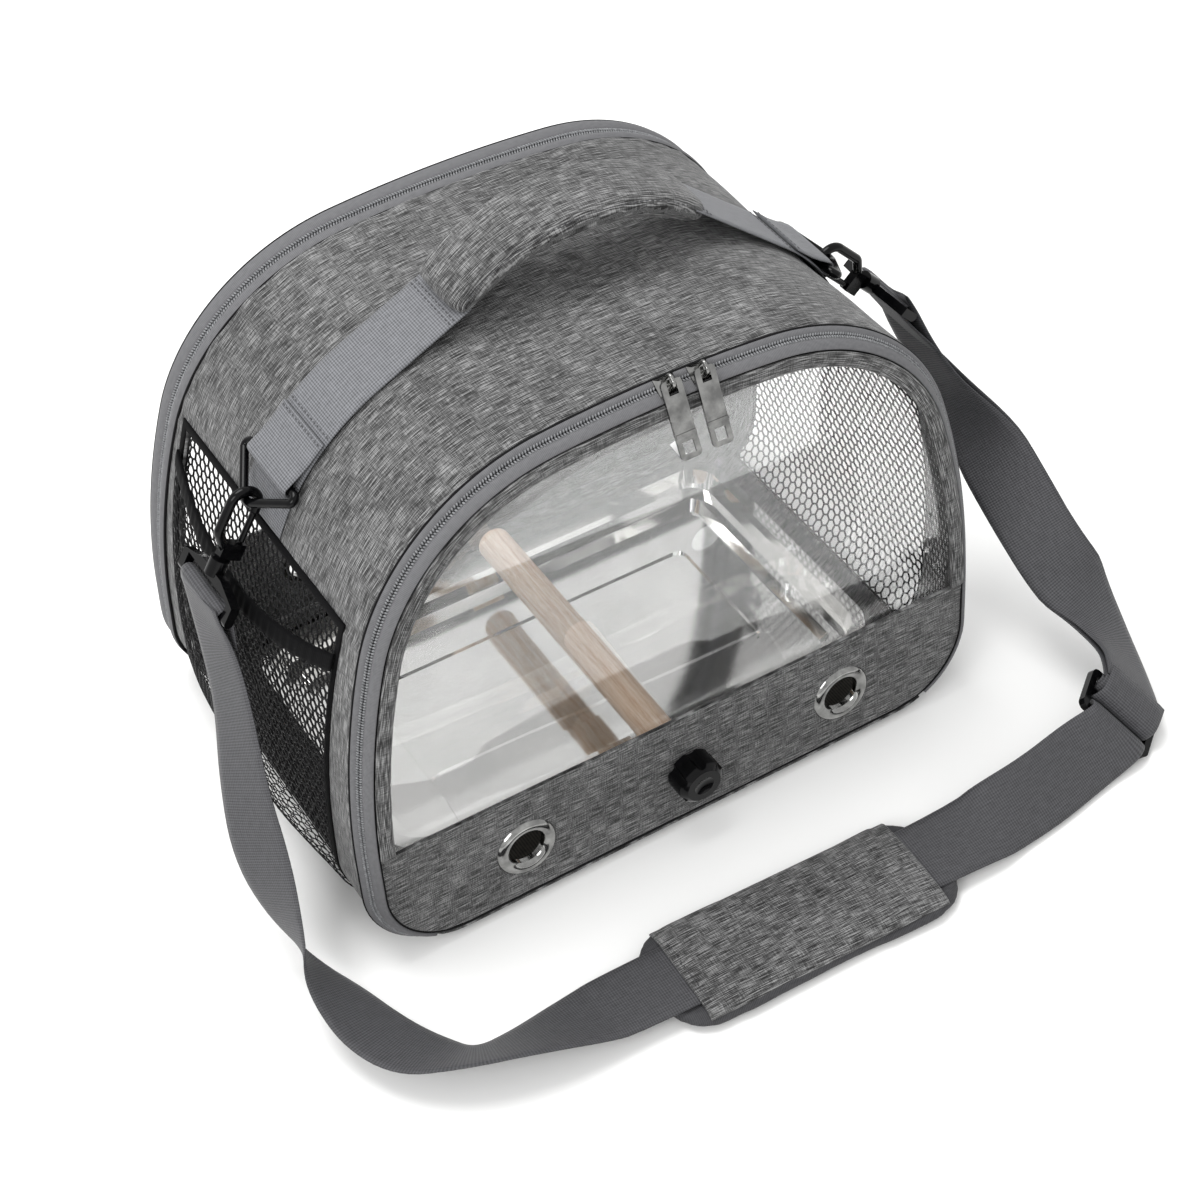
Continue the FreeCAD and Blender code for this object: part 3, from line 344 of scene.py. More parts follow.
def finish_of(name, **sockets):
    """New material with the shader's constant sockets set."""
    m = bpy.data.materials.new(name)
    m.use_nodes = True
    shader = m.node_tree.nodes["Principled BSDF"]
    for key, value in sockets.items():
        shader.inputs[key.replace("_", " ")].default_value = value
    return m, m.node_tree, shader


def ramp(tree, factor, stops):
    """Colour ramp with hex stops."""
    node = add(tree, "ShaderNodeValToRGB", {"Fac": factor})
    while len(node.color_ramp.elements) < len(stops):
        node.color_ramp.elements.new(0.5)
    for element, (place, colour) in zip(node.color_ramp.elements, stops):
        element.position, element.color = place, rgb(colour)
    return node.outputs["Color"]


def coords(tree, source, scale):
    """Coordinates of a piece, scaled for one pattern."""
    place = add(tree, "ShaderNodeTexCoord").outputs[source]
    return add(tree, "ShaderNodeMapping", {"Vector": place, "Scale": scale}).outputs["Vector"]


def noise(tree, source, sizes, detail=2.0, distortion=0.0):
    """Noise whose features have these sizes in millimetres."""
    place = coords(tree, source, tuple(1 / (s * MM) for s in sizes))
    return add(tree, "ShaderNodeTexNoise", {"Vector": place, "Scale": 1.0, "Detail": detail,
                                            "Distortion": distortion}).outputs["Fac"]


def ribs(tree, source, pitch, distortion, direction="X", detail_scale=1.0):
    """Straight ribs at a pitch in millimetres."""
    return add(tree, "ShaderNodeTexWave", {"Vector": coords(tree, source, (1, 1, 1)), "Scale": WAVE / (pitch * MM),
                                           "Distortion": distortion, "Detail Scale": detail_scale},
               bands_direction=direction).outputs["Fac"]


def mixed(tree, factor, a, b):
    """Two patterns mixed by a share of the second."""
    return add(tree, "ShaderNodeMix", {"Factor": factor, "A": a, "B": b}).outputs["Result"]


def coloured(tree, shader, factor, stops):
    """Base colour from a ramp with hex stops."""
    tree.links.new(ramp(tree, factor, stops), shader.inputs["Base Color"])


def glossed(tree, shader, factor, low, high):
    """Roughness that follows a pattern between two values."""
    gloss = add(tree, "ShaderNodeMapRange", {"Value": factor, "To Min": low, "To Max": high})
    tree.links.new(gloss.outputs["Result"], shader.inputs["Roughness"])


def raised(tree, shader, height, strength, distance):
    """Relief that follows a pattern, its height in millimetres."""
    bump = add(tree, "ShaderNodeBump", {"Height": height, "Strength": strength, "Distance": distance * MM})
    tree.links.new(bump.outputs["Normal"], shader.inputs["Normal"])


def heather_cloth(name, dark, mid, light):
    """Melange polyester cloth: grey yarns of uneven tone, mostly one way, matt with a soft sheen."""
    m, t, s = finish_of(name, Roughness=0.86, Sheen_Weight=0.12, Sheen_Roughness=0.5, Specular_IOR_Level=0.25)
    weft, warp = noise(t, "UV", (10, 0.42, 0.42)), noise(t, "UV", (0.45, 6, 6))
    both = mixed(t, 0.27, weft, warp)
    tone = mixed(t, 0.1, both, noise(t, "UV", (45, 30, 30)))
    coloured(t, s, tone, [(0.4, dark), (0.5, mid), (0.61, light)])
    # the weave is drawn coarser than real threads so that it shows
    over, under = ribs(t, "UV", 1.0, 0.6), ribs(t, "UV", 1.0, 0.6, "Y")
    weave = add(t, "ShaderNodeMath", {0: over, 1: under}, operation="MULTIPLY")
    relief = add(t, "ShaderNodeMath", {0: weave.outputs[0], 1: both}, operation="ADD")
    raised(t, s, relief.outputs[0], 0.45, 0.35)
    return m


def webbing(name, dark, light, pitch):
    """Woven polyester webbing: weft ribs straight across, warp ends that break them up, dull shine on the ribs."""
    m, t, s = finish_of(name, Roughness=0.62, Sheen_Weight=0.08, Sheen_Roughness=0.4, Specular_IOR_Level=0.3)
    grid = mixed(t, 0.35, ribs(t, "UV", pitch, 0.4, "X", 3.0), ribs(t, "UV", 1.5, 0.5, "Y"))
    tone = mixed(t, 0.45, grid, noise(t, "UV", (6, 1.2, 1), 3.0))
    coloured(t, s, tone, [(0.2, dark), (0.8, light)])
    raised(t, s, grid, 0.6, 0.4)
    return m


def ribbed_tape(name, dark, light, pitch, source="UV", rough=0.75, shine=0.2):
    """Narrow woven tape or elastic: fine ribs, matt."""
    m, t, s = finish_of(name, Roughness=rough, Specular_IOR_Level=shine, Sheen_Weight=0.15 * shine)
    tone = mixed(t, 0.6, ribs(t, source, pitch, 0.5), noise(t, source, (3, 1.5, 3), 3.0))
    coloured(t, s, tone, [(0.25, dark), (0.75, light)])
    raised(t, s, tone, 0.25, 0.15)
    return m


def yarn(name, dark, light, rough):
    """Twisted or extruded yarn: small tone changes along it."""
    m, t, s = finish_of(name, Roughness=rough, Specular_IOR_Level=0.25)
    grain = noise(t, "Object", (1.5, 1.5, 1.5))
    coloured(t, s, grain, [(0.3, dark), (0.7, light)])
    raised(t, s, grain, 0.3, 0.1)
    return m


def plated_metal(name, dark, light, rough_low, rough_high, size):
    """Bright plated or polished metal: mirror gloss with faint polishing haze and rubbed spots."""
    m, t, s = finish_of(name, Metallic=1.0)
    haze = noise(t, "Object", (size, size, size), 4.0)
    coloured(t, s, haze, [(0.3, dark), (0.7, light)])
    glossed(t, s, haze, rough_low, rough_high)
    return m


def moulded_plastic(name, dark, light):
    """Moulded acetal: deep black, fairly glossy, with faint flow marks and scuffs."""
    m, t, s = finish_of(name, IOR=1.48, Specular_IOR_Level=0.18)
    flow = noise(t, "Object", (7, 7, 7), 5.0)
    coloured(t, s, flow, [(0.3, dark), (0.75, light)])
    glossed(t, s, flow, 0.08, 0.2)
    raised(t, s, noise(t, "Object", (0.8, 0.8, 0.8)), 0.12, 0.1)
    return m


def beech_dowel(name):
    """Turned beech: pale, long grain lines and short dark flecks along the dowel, sanded and unvarnished."""
    m, t, s = finish_of(name, Roughness=0.6, Specular_IOR_Level=0.35)
    tone = mixed(t, 0.35, noise(t, "Object", (2.2, 60, 2.2), 4.0, 0.4), noise(t, "Object", (0.9, 7, 0.9)))
    coloured(t, s, tone, [(0.33, "#CBA98D"), (0.5, "#E3CAB2"), (0.66, "#F0DFCD")])
    raised(t, s, tone, 0.25, 0.2)
    return m


def clear_vinyl(name):
    """Clear soft vinyl sheet: glossy both sides, a slight wave in its surface and a trace of haze."""
    m, t, s = finish_of(name, Base_Color=rgb("#FCFDFD"), IOR=1.46, Transmission_Weight=1.0, Alpha=0.22)
    wave = noise(t, "Object", (70, 70, 55), 1.0)
    glossed(t, s, wave, 0.0, 0.02)
    raised(t, s, wave, 0.1, 3)
    return m


HEATHER = heather_cloth("heather_polyester", "#191919", "#484848", "#8A8A8A")
HANDLE_WEBBING = webbing("handle_webbing_polyester", "#444547", "#7C7D81", 1.4)
STRAP_WEBBING = webbing("strap_webbing_polyester", "#2C2C2E", "#515154", 1.4)
NET_YARN = yarn("black_polyester_yarn", "#050506", "#0E0E10", 0.6)
BLACK_TAPE = ribbed_tape("black_binding_tape", "#030304", "#0B0B0C", 0.9, shine=0.06)
BLACK_ELASTIC = ribbed_tape("black_woven_elastic", "#030304", "#0A0A0B", 1.2, shine=0.06)
ZIP_TAPE = ribbed_tape("grey_zipper_tape", "#555557", "#6A6A6C", 0.8)
PAD_CLOTH = ribbed_tape("plain_grey_cloth", "#303032", "#444446", 0.9)
# near-black cord colour: painted shade along the seams beside the zippers
SEAM_SHADOW_CORD = ribbed_tape("painted_seam_shadow_cord", "#0B0B0C", "#171718", 1.2, shine=0.08)
COIL = yarn("grey_nylon_coil", "#5E5F61", "#868789", 0.4)
THREAD = yarn("grey_sewing_thread", "#343436", "#505053", 0.55)
NICKEL = plated_metal("bright_nickel_plate", "#767675", "#A2A2A0", 0.06, 0.16, 6)
STEEL = plated_metal("polished_stainless_steel", "#E6E6E4", "#F4F3F1", 0.05, 0.11, 60)
BLACK_PLASTIC = moulded_plastic("black_moulded_acetal", "#030304", "#09090A")
BEECH = beech_dowel("beech_dowel_wood")
VINYL = clear_vinyl("clear_vinyl_sheet")
BOARD = ribbed_tape("grey_fibre_board", "#3C3B39", "#57554F", 1.6, "Object", 0.9)


# Geometry node trees

def node_tree(name, sockets):
    """Empty geometry tree with named inputs; returns the tree and its input and output nodes."""
    tree = bpy.data.node_groups.new(name, "GeometryNodeTree")
    tree.interface.new_socket("Geometry", in_out="INPUT", socket_type="NodeSocketGeometry")
    for label, kind in sockets:
        tree.interface.new_socket(label, in_out="INPUT", socket_type=kind)
    tree.interface.new_socket("Geometry", in_out="OUTPUT", socket_type="NodeSocketGeometry")
    return tree, add(tree, "NodeGroupInput").outputs, add(tree, "NodeGroupOutput").inputs


def closed_tree(tree, geometry, given, result):
    """End of a tree: instances made real, smooth faces, its material."""
    real = add(tree, "GeometryNodeRealizeInstances", {"Geometry": geometry})
    smooth = add(tree, "GeometryNodeSetShadeSmooth", {"Geometry": real.outputs[0]})
    done = add(tree, "GeometryNodeSetMaterial", {"Geometry": smooth.outputs[0], "Material": given["Material"]})
    tree.links.new(done.outputs[0], result["Geometry"])
    return tree


def row_tree():
    """Small rounded beads, such as zipper teeth or stitches, set at a pitch along a line."""
    sizes = [(k, "NodeSocketFloat") for k in ("Pitch", "Length", "Width", "Height", "Turn")]
    tree, given, result = node_tree("seam_row", sizes + [("Material", "NodeSocketMaterial")])
    line = add(tree, "GeometryNodeMeshToCurve", {"Mesh": given["Geometry"]})
    spots = add(tree, "GeometryNodeResampleCurve", {"Curve": line.outputs[0], "Length": given["Pitch"]}, mode="LENGTH")
    along = add(tree, "GeometryNodeInputTangent")
    out = add(tree, "GeometryNodeInputNamedAttribute", {"Name": "out"}, data_type="FLOAT_VECTOR")
    axes = {"Primary Axis": along.outputs[0], "Secondary Axis": out.outputs[0]}
    stand = add(tree, "FunctionNodeAxesToRotation", axes, primary_axis="X", secondary_axis="Z")
    turn = add(tree, "FunctionNodeAxisAngleToRotation", {"Axis": (0, 0, 1), "Angle": given["Turn"]})
    turned = add(tree, "FunctionNodeRotateRotation", {"Rotation": stand.outputs[0], "Rotate By": turn.outputs[0]},
                 rotation_space="LOCAL")
    bead = add(tree, "GeometryNodeMeshUVSphere", {"Segments": 6, "Rings": 4, "Radius": 0.5})
    size = add(tree, "ShaderNodeCombineXYZ", {"X": given["Length"], "Y": given["Width"], "Z": given["Height"]})
    beads = add(tree, "GeometryNodeInstanceOnPoints", {"Points": spots.outputs[0], "Instance": bead.outputs[0],
                                                       "Rotation": turned.outputs[0], "Scale": size.outputs[0]})
    return closed_tree(tree, beads.outputs[0], given, result)


def net_tree():
    """Open net: six-sided cells round the points of a triangle mesh, drawn in round yarn."""
    tree, given, result = node_tree("open_net", [("Yarn", "NodeSocketFloat"), ("Material", "NodeSocketMaterial")])
    cells = add(tree, "GeometryNodeDualMesh", {"Mesh": given["Geometry"], "Keep Boundaries": True})
    lines = add(tree, "GeometryNodeMeshToCurve", {"Mesh": cells.outputs[0]})
    section = add(tree, "GeometryNodeCurvePrimitiveCircle", {"Resolution": 5, "Radius": given["Yarn"]})
    strands = add(tree, "GeometryNodeCurveToMesh", {"Curve": lines.outputs[0], "Profile Curve": section.outputs[0]})
    return closed_tree(tree, strands.outputs[0], given, result)


SEAM_ROW = row_tree()
OPEN_NET = net_tree()
STITCH_PITCH = 3.0
STITCH = (2.3, 0.7, 0.45)


def grown(tree, mesh, **values):
    """Plain mesh of a tree run on a mesh, with its named inputs set."""
    obj = loose_object("grown", mesh)
    mod = obj.modifiers.new("tree", "NODES")
    mod.node_group = tree
    for item in tree.interface.items_tree:
        if item.in_out == "INPUT" and item.name in values:
            mod[item.identifier] = values[item.name]
    return baked(obj)


def bead_row(points, out, pitch, size, material, turn=0.0):
    """Mesh of beads along a line in millimetres; out is the direction away from the cloth."""
    points = np.asarray(points, float)
    count = len(points)
    mesh = bpy.data.meshes.new("line")
    mesh.from_pydata([tuple(p) for p in points * MM], [(i, i + 1) for i in range(count - 1)], [])
    facing = mesh.attributes.new("out", "FLOAT_VECTOR", "POINT")
    facing.data.foreach_set("vector", np.broadcast_to(np.asarray(out, float), (count, 3)).astype(np.float32).ravel())
    along, across, high = (s * MM for s in size)
    return grown(SEAM_ROW, mesh, Pitch=pitch * MM, Length=along, Width=across, Height=high, Turn=turn,
                 Material=material)


def cross_stitches(middle, across, half, out):
    """Straight row of stitches across a band of webbing."""
    return bead_row([middle + across * s for s in (-half, half)], out, STITCH_PITCH, STITCH, THREAD)


def net_base(place, u_span, v_span, u_pitch, v_pitch):
    """Triangle mesh whose rows are staggered, so that the net's cells come out six-sided."""
    columns = max(2, round((u_span[1] - u_span[0]) / u_pitch))
    rows = max(2, round((v_span[1] - v_span[0]) / v_pitch))
    points, faces, last = [], [], None
    for i in range(rows + 1):
        spots = np.arange(columns + 1.0)
        if i % 2:
            spots = np.concatenate([[0], np.arange(columns) + 0.5, [columns]])
        v = v_span[0] + (v_span[1] - v_span[0]) * i / rows
        first = len(points)
        points += [place(u_span[0] + (u_span[1] - u_span[0]) * s / columns, v) for s in spots]
        if last is not None:
            faces += stitched_rows(last, (first, spots))
        last = (first, spots)
    mesh = bpy.data.meshes.new("net_base")
    mesh.from_pydata([tuple(np.asarray(p) * MM) for p in points], [], faces)
    return mesh


def stitched_rows(lower, upper):
    """Triangles between two rows of points at different spots."""
    (a0, a), (b0, b) = lower, upper
    i = j = 0
    faces = []
    while i < len(a) - 1 or j < len(b) - 1:
        if j == len(b) - 1 or (i < len(a) - 1 and a[i + 1] <= b[j + 1]):
            faces.append((a0 + i, a0 + i + 1, b0 + j))
            i += 1
        else:
            faces.append((a0 + i, b0 + j + 1, b0 + j))
            j += 1
    return faces


# Gusset with its side windows, bindings, nets and pocket

def wave_of(*terms):
    """Soft unevenness: a sum of slow waves, the same at every run."""
    return sum(a * math.sin(x) for a, x in terms)


def gusset():
    """Arched shell of heather cloth, slightly slack between the zippers, with an opening in each side."""
    step = 3.6
    half_p, half_n = seam_half(step)
    for level in (WINDOW_LOW, WINDOW_HIGH):
        at = int(np.argmin(np.abs(half_p[:, 1] + BAND_OUT * half_n[:, 1] - level) + 400 * (half_p[:, 0] < SIDE_FROM)))
        half_p[at] += np.array([0.0, level - half_p[at, 1] - BAND_OUT * half_n[at, 1]])
    p, n = mirrored(half_p), mirrored(half_n)
    shell = p + BAND_OUT * n
    run = lengths(np.vstack([shell, shell[:1]]))
    rows, uvs, keep = [], [], []
    rim = np.array([0.5, 0.6, 0.7, 0.78, 0.85, 0.91, 0.95, 0.98, 1.0])
    share = np.concatenate([-rim[:0:-1], np.linspace(-0.5, 0.5, 25), rim[1:]])
    count = len(p)
    for i in range(count):
        deep = np.where(share < 0, edge_depth(shell[i, 1], "front"), edge_depth(shell[i, 1], "back"))
        ys = np.where(np.abs(share) <= 0.5, share * 2 * WINDOW_HALF_DEPTH,
                      np.sign(share) * (WINDOW_HALF_DEPTH + (np.abs(share) - 0.5) * 2 * (deep - WINDOW_HALF_DEPTH)))
        high = shell[i, 1] > WINDOW_HIGH
        row = []
        for y, d in zip(ys, deep):
            edge = 1 - (abs(y) / d) ** 2
            slack = wave_of((0.45, run[i] / 23 + y / 31), (0.4, run[i] / 41 - y / 19), (0.3, y / 9 + run[i] / 60)) - 0.6
            near = d - abs(y)
            pucker = wave_of((0.5, run[i] / 3.1 + 2 * math.sin(run[i] / 17)), (0.35, run[i] / 5.3 + y / 8))
            pucker *= math.exp(-near / 13) * (1 - math.exp(-near / 2.5))
            dip = -0.9 * math.exp(-(near / 1.6) ** 2)
            q = shell[i] + n[i] * (slack * edge + pucker + dip if high else 0.4 * dip)
            row.append((q[0], y, q[1]))
        rows.append(row)
        uvs.append([(run[i], y) for y in ys])
        z_mid = (shell[i, 1] + shell[(i + 1) % count, 1]) / 2
        opening = WINDOW_LOW < z_mid < WINDOW_HIGH and abs(shell[i, 0]) > SIDE_FROM
        keep.append([not (opening and abs(ys[k] + ys[k + 1]) < 2 * WINDOW_HALF_DEPTH) for k in range(len(ys) - 1)])
    uvs.append([(run[-1], v) for _, v in uvs[0]])
    mesh = tidy(sheet_mesh("gusset", rows, uvs, True, keep), False)
    mesh.flip_normals()
    return piece("gusset_cloth", thickened(mesh, GUSSET_THICK), HEATHER, "bag", ["gusset"])


def window_loop(grow):
    """Points (y, z) round a side opening, larger by a margin."""
    d, lo, hi = WINDOW_HALF_DEPTH + grow, WINDOW_LOW - grow, WINDOW_HIGH + grow
    corners = [(-d, lo), (d, lo), (d, hi), (-d, hi), (-d, lo)]
    out, each = [], 24
    for (y0, z0), (y1, z1) in zip(corners, corners[1:]):
        out += [(y0 + (y1 - y0) * k / each, z0 + (z1 - z0) * k / each) for k in range(each)]
    return out


def side_point(sign, y, z, offset):
    """Point on one side of the bag at an offset from the seam outline."""
    return (sign * side_x(z, offset), y, z)


def window_binding(side, sign):
    """Folded tape round a side opening, a little fuller in its middle."""
    rows, uvs = [], []
    across = np.linspace(0.0, BINDING_WIDTH, 6)
    loops = [window_loop(d) for d in across]
    run = lengths(loops[2] + loops[2][:1])
    for i in range(len(loops[0])):
        fold = [0.8 * (0.45 + 0.55 * math.sin(math.pi * (d + 0.5) / 5.5)) for d in across]
        rows.append([side_point(sign, *loops[k][i], BAND_OUT + 0.05 + fold[k]) for k in range(len(across))])
        uvs.append([(run[i], d) for d in across])
    uvs.append([(run[-1], d) for d in across])
    mesh = tidy(sheet_mesh("binding", rows, uvs, True), False)
    if sign > 0:
        mesh.flip_normals()
    name = side + "_window_binding"
    return piece(name + "_tape", thickened(mesh, BINDING_THICK), BLACK_TAPE, "bag", [name])


WINDOW_NET = (5.5, 5.0)
WINDOW_YARN = 0.57
POCKET_NET = (6.2, 5.4)
POCKET_YARN = 0.27


def window_net(side, sign):
    """Open net of the side window."""
    margin = 0.6
    base = net_base(lambda y, z: side_point(sign, y, z, 5.0), (-WINDOW_HALF_DEPTH + margin, WINDOW_HALF_DEPTH - margin),
                    (WINDOW_LOW + margin, WINDOW_HIGH - margin), *WINDOW_NET)
    mesh = grown(OPEN_NET, base, Yarn=WINDOW_YARN * MM, Material=NET_YARN)
    name = side + "_mesh_window"
    return piece(name + "_net", mesh, NET_YARN, "bag", [name])


# Heights on the bag and how far the pocket stands out there
POCKET_LEVELS = ((18.0, 0.8), (30.0, 5.0), (45.0, 9.0), (90.0, 15.0), (135.0, 12.0), (177.0, 4.0), (187.0, 3.0))
POCKET_HALF = 85.0
HEM_LOW, HEM_HIGH = 177.0, 187.0
HEM_SAG = 15.0


def pocket_point(sign, y, z, proud=0.0):
    """Point on the bulged pocket; the cloth hangs in slow folds across its front."""
    heights, bulges = zip(*POCKET_LEVELS)
    belly = float(np.interp(z, heights, bulges))
    round_off = 1 - (y / POCKET_HALF) ** 2
    fold = belly * 0.05 * math.sin(y / 9.5 + z / 60) * round_off
    sag = HEM_SAG * round_off * min(1, max(0, (z - 60) / 117)) ** 2
    gape = 5.0 * round_off * min(1, max(0, (z - 120) / 57)) ** 2
    return (sign * (side_x(z - sag, 8.6) + 0.45 + proud + belly * round_off + fold + gape), y, z - sag)


def pocket(side, sign):
    """Net pocket of thinner yarn than the window."""
    base = net_base(lambda y, z: pocket_point(sign, y, z), (-POCKET_HALF, POCKET_HALF),
                    (POCKET_LEVELS[0][0], HEM_LOW + 1.0), *POCKET_NET)
    mesh = grown(OPEN_NET, base, Yarn=POCKET_YARN * MM, Material=NET_YARN)
    name = side + "_pocket"
    return piece(name + "_net", mesh, NET_YARN, "bag", [name])


def pocket_hem(side, sign):
    """Gathered elastic along the mouth of the pocket."""
    rows, uvs = [], []
    levels = np.linspace(HEM_LOW, HEM_HIGH, 6)
    for y in np.linspace(-POCKET_HALF, POCKET_HALF, 121):
        gather = 0.28 * math.sin(2 * math.pi * y / 5.6) + 0.12 * math.sin(y / 1.3)
        roll = [0.5 * math.sin(math.pi * (z - HEM_LOW + 1.0) / 12.0) for z in levels]
        proud = 0.5 + gather * (1 - (y / POCKET_HALF) ** 4)
        rows.append([pocket_point(sign, y, z, proud + r) for z, r in zip(levels, roll)])
        uvs.append([(y, z) for z in levels])
    mesh = sheet_mesh("hem", rows, uvs)
    if sign < 0:
        mesh.flip_normals()
    name = side + "_pocket_hem"
    return piece(name + "_elastic", thickened(mesh, HEM_THICK), BLACK_ELASTIC, "bag", [name])


gusset()
for side, sign in (("left", -1), ("right", 1)):
    window_binding(side, sign)
    window_net(side, sign)
pocket("left", -1)
pocket_hem("left", -1)


# Doors: zipper, border, clear window and strip

def half_width(z, offset):
    """Half width of the seam outline at a height and an offset."""
    p, n = seam_half(2.0)
    q = p + offset * n
    q = q[q[:, 0] >= 0]
    return float(np.interp(z, q[:, 1], q[:, 0]))


def ring_band(points, normals, across, side, closed=False):
    """Mesh along a part of the seam; across gives (offset, depth) for each line of it."""
    grid = []
    for p, n in zip(points, normals):
        flat = [(p[0] + o * n[0], d, p[1] + o * n[1]) for o, d in across]
        grid.append(stand_door(flat, side))
    run = lengths(np.vstack([points, points[:1]]) if closed else points)
    mesh = sheet_mesh("band", grid, flat_grid(run, lengths(across)), closed)
    if side == "back":
        mesh.flip_normals()
    return mesh


def on_band(side, f, proud):
    """Offset and depth at a share of the zipper band's width, raised above it."""
    drop, deep = BAND_LIE[side]
    long = math.hypot(drop, deep)
    return (BAND_OUT - drop * (1 - f) + proud * deep / long, deep * f - proud * drop / long)


def band_out(normals, side):
    """Directions away from the zipper band."""
    drop, deep = BAND_LIE[side]
    long = math.hypot(drop, deep)
    flat = np.stack([normals[:, 0] * deep / long, np.full(len(normals), -drop / long), normals[:, 1] * deep / long], -1)
    zero = stand_door(np.zeros((1, 3)), side)
    return stand_door(flat, side) - zero


def door_edge(side):
    """Offset of a door panel's edge from the seam outline."""
    return BAND_OUT - BAND_LIE[side][0]


# Roll and lap of the tapes; shares of the band's width where the backing tapes and the teeth lie
ZIP_ROLL = {"front": (0.6, 0.0), "back": (1.35, 0.08)}
BACKING_INNER, BACKING_OUTER = (0.43, 0.582), (0.588, 0.73)
TEETH_INNER, TEETH_OUTER = 0.505, 0.665
BACKING = -1.9
TOOTH_PITCH = 1.55
TOOTH_WIDE = {"front": 1.0, "back": 1.35}
TOOTH_PROUD = 0.75
TOOTH_TURN = 0.35


def zipper(side, body_outer, body_inner):
    """Both tapes of one zipper, rolled like piping, a near-black cord along the gusset that paints the seam's shadow,
    and the two rows of teeth.
    """
    p, n = zip_line(4.0)
    roll, lap = ZIP_ROLL[side]
    inner = [on_band(side, f, roll * math.sin(math.pi * (f + 0.06) / 0.5) - 0.1) for f in np.linspace(-0.04, 0.42, 9)]
    outer = [on_band(side, f, roll * math.sin(math.pi * (f - 0.73) / (0.29 + lap)) - 0.15)
             for f in np.linspace(0.74, 1.0 + lap, 9)]
    inner += [on_band(side, f, BACKING) for f in BACKING_INNER]
    outer = [on_band(side, f, BACKING) for f in BACKING_OUTER] + outer
    for part, across, body in (("inner", inner, body_inner), ("outer", outer, body_outer)):
        name = "%s_%s_tape" % (side, part)
        mesh = thickened(ring_band(p, n, across, side), TAPE_THICK)
        piece(name + "_cloth", mesh, ZIP_TAPE, body, [name])
    offset, depth = on_band(side, 1.02 + lap, GUSSET_CORD)
    turns = np.linspace(0, 2 * math.pi, 9)
    cord = [(offset + GUSSET_CORD * math.cos(a), depth + GUSSET_CORD * math.sin(a)) for a in turns]
    # near-black cord along the gusset edge: painted seam shadow
    piece(side + "_gusset_seam_shadow_cord", tidy(ring_band(p, n, cord, side)), SEAM_SHADOW_CORD, body_outer, ())
    fine, fine_n = zip_line(2.0)
    facing = band_out(fine_n, side)
    size = (1.2, 2.2 * TOOTH_WIDE[side], 1.6)
    for part, f, body, turn in (("inner", TEETH_INNER, body_inner, TOOTH_TURN),
                                ("outer", TEETH_OUTER, body_outer, -TOOTH_TURN)):
        offset, depth = on_band(side, f, TOOTH_PROUD)
        middle = fine + offset * fine_n
        line = np.stack([middle[:, 0], np.full(len(fine), depth), middle[:, 1]], -1)
        mesh = bead_row(stand_door(line, side), facing, TOOTH_PITCH, size, COIL, turn)
        name = "%s_%s_coil" % (side, part)
        piece(name + "_teeth", mesh, COIL, body, [name])


def sill(side):
    """Cloth fold between the foot of the door and the underside."""
    p, n = seam(4.0)
    half = np.roll(np.arange(len(p)), len(p) // 2)
    keep = [i for i in half if abs(p[i, 0]) <= ZIP_END_X and p[i, 1] < DOOR_LIFT + CORNER_RADIUS]
    across = [on_band(side, f, -0.1) for f in np.linspace(0.03, 0.98, 6)]
    mesh = ring_band(p[keep], n[keep], across, side)
    name = side + "_sill"
    low = thickened(mesh, TAPE_THICK)
    for v in low.vertices:
        v.co.z = max(v.co.z, 0.0)
    return piece(name + "_cloth", low, HEATHER, "bag", [name])


CORD_LIE = {"front": (-0.7, 0.9), "back": (0.7, -0.6)}


def border(side, body):
    """Heather border of the clear window, crowned, and a near-black cord between it and the zipper that paints the
    shade of the seam.
    """
    p, n = seam(4.0)
    start = int(np.argmin(np.abs(p[:len(p) // 2, 1] - STRIP_TOP)))
    keep = range(start, len(p) - start + 1)
    edge = door_edge(side)
    across = [(edge + o, 0.05 - 0.6 * math.sin(math.pi * (-o - 1.2) / (BORDER_SEEN - 1.2)) ** 0.7)
              for o in np.linspace(-BORDER_SEEN, -1.2, 9)]
    mesh = ring_band(p[keep], n[keep], across, side)
    name = side + "_border"
    piece(name + "_cloth", thickened(mesh, CLOTH_THICK), HEATHER, body, [name])
    turns = np.linspace(0, 2 * math.pi, 9)
    out, depth = CORD_LIE[side]
    cord = [(edge + out + DOOR_CORD * math.cos(a), depth - DOOR_CORD * math.sin(a)) for a in turns]
    mesh = tidy(ring_band(p, n, cord, side, True))
    for v in mesh.vertices:
        v.co.z = max(v.co.z, FLOOR_GAP * MM)
    # near-black cord between border and zipper: painted seam shadow
    piece(side + "_door_seam_shadow_cord", mesh, SEAM_SHADOW_CORD, body, ())


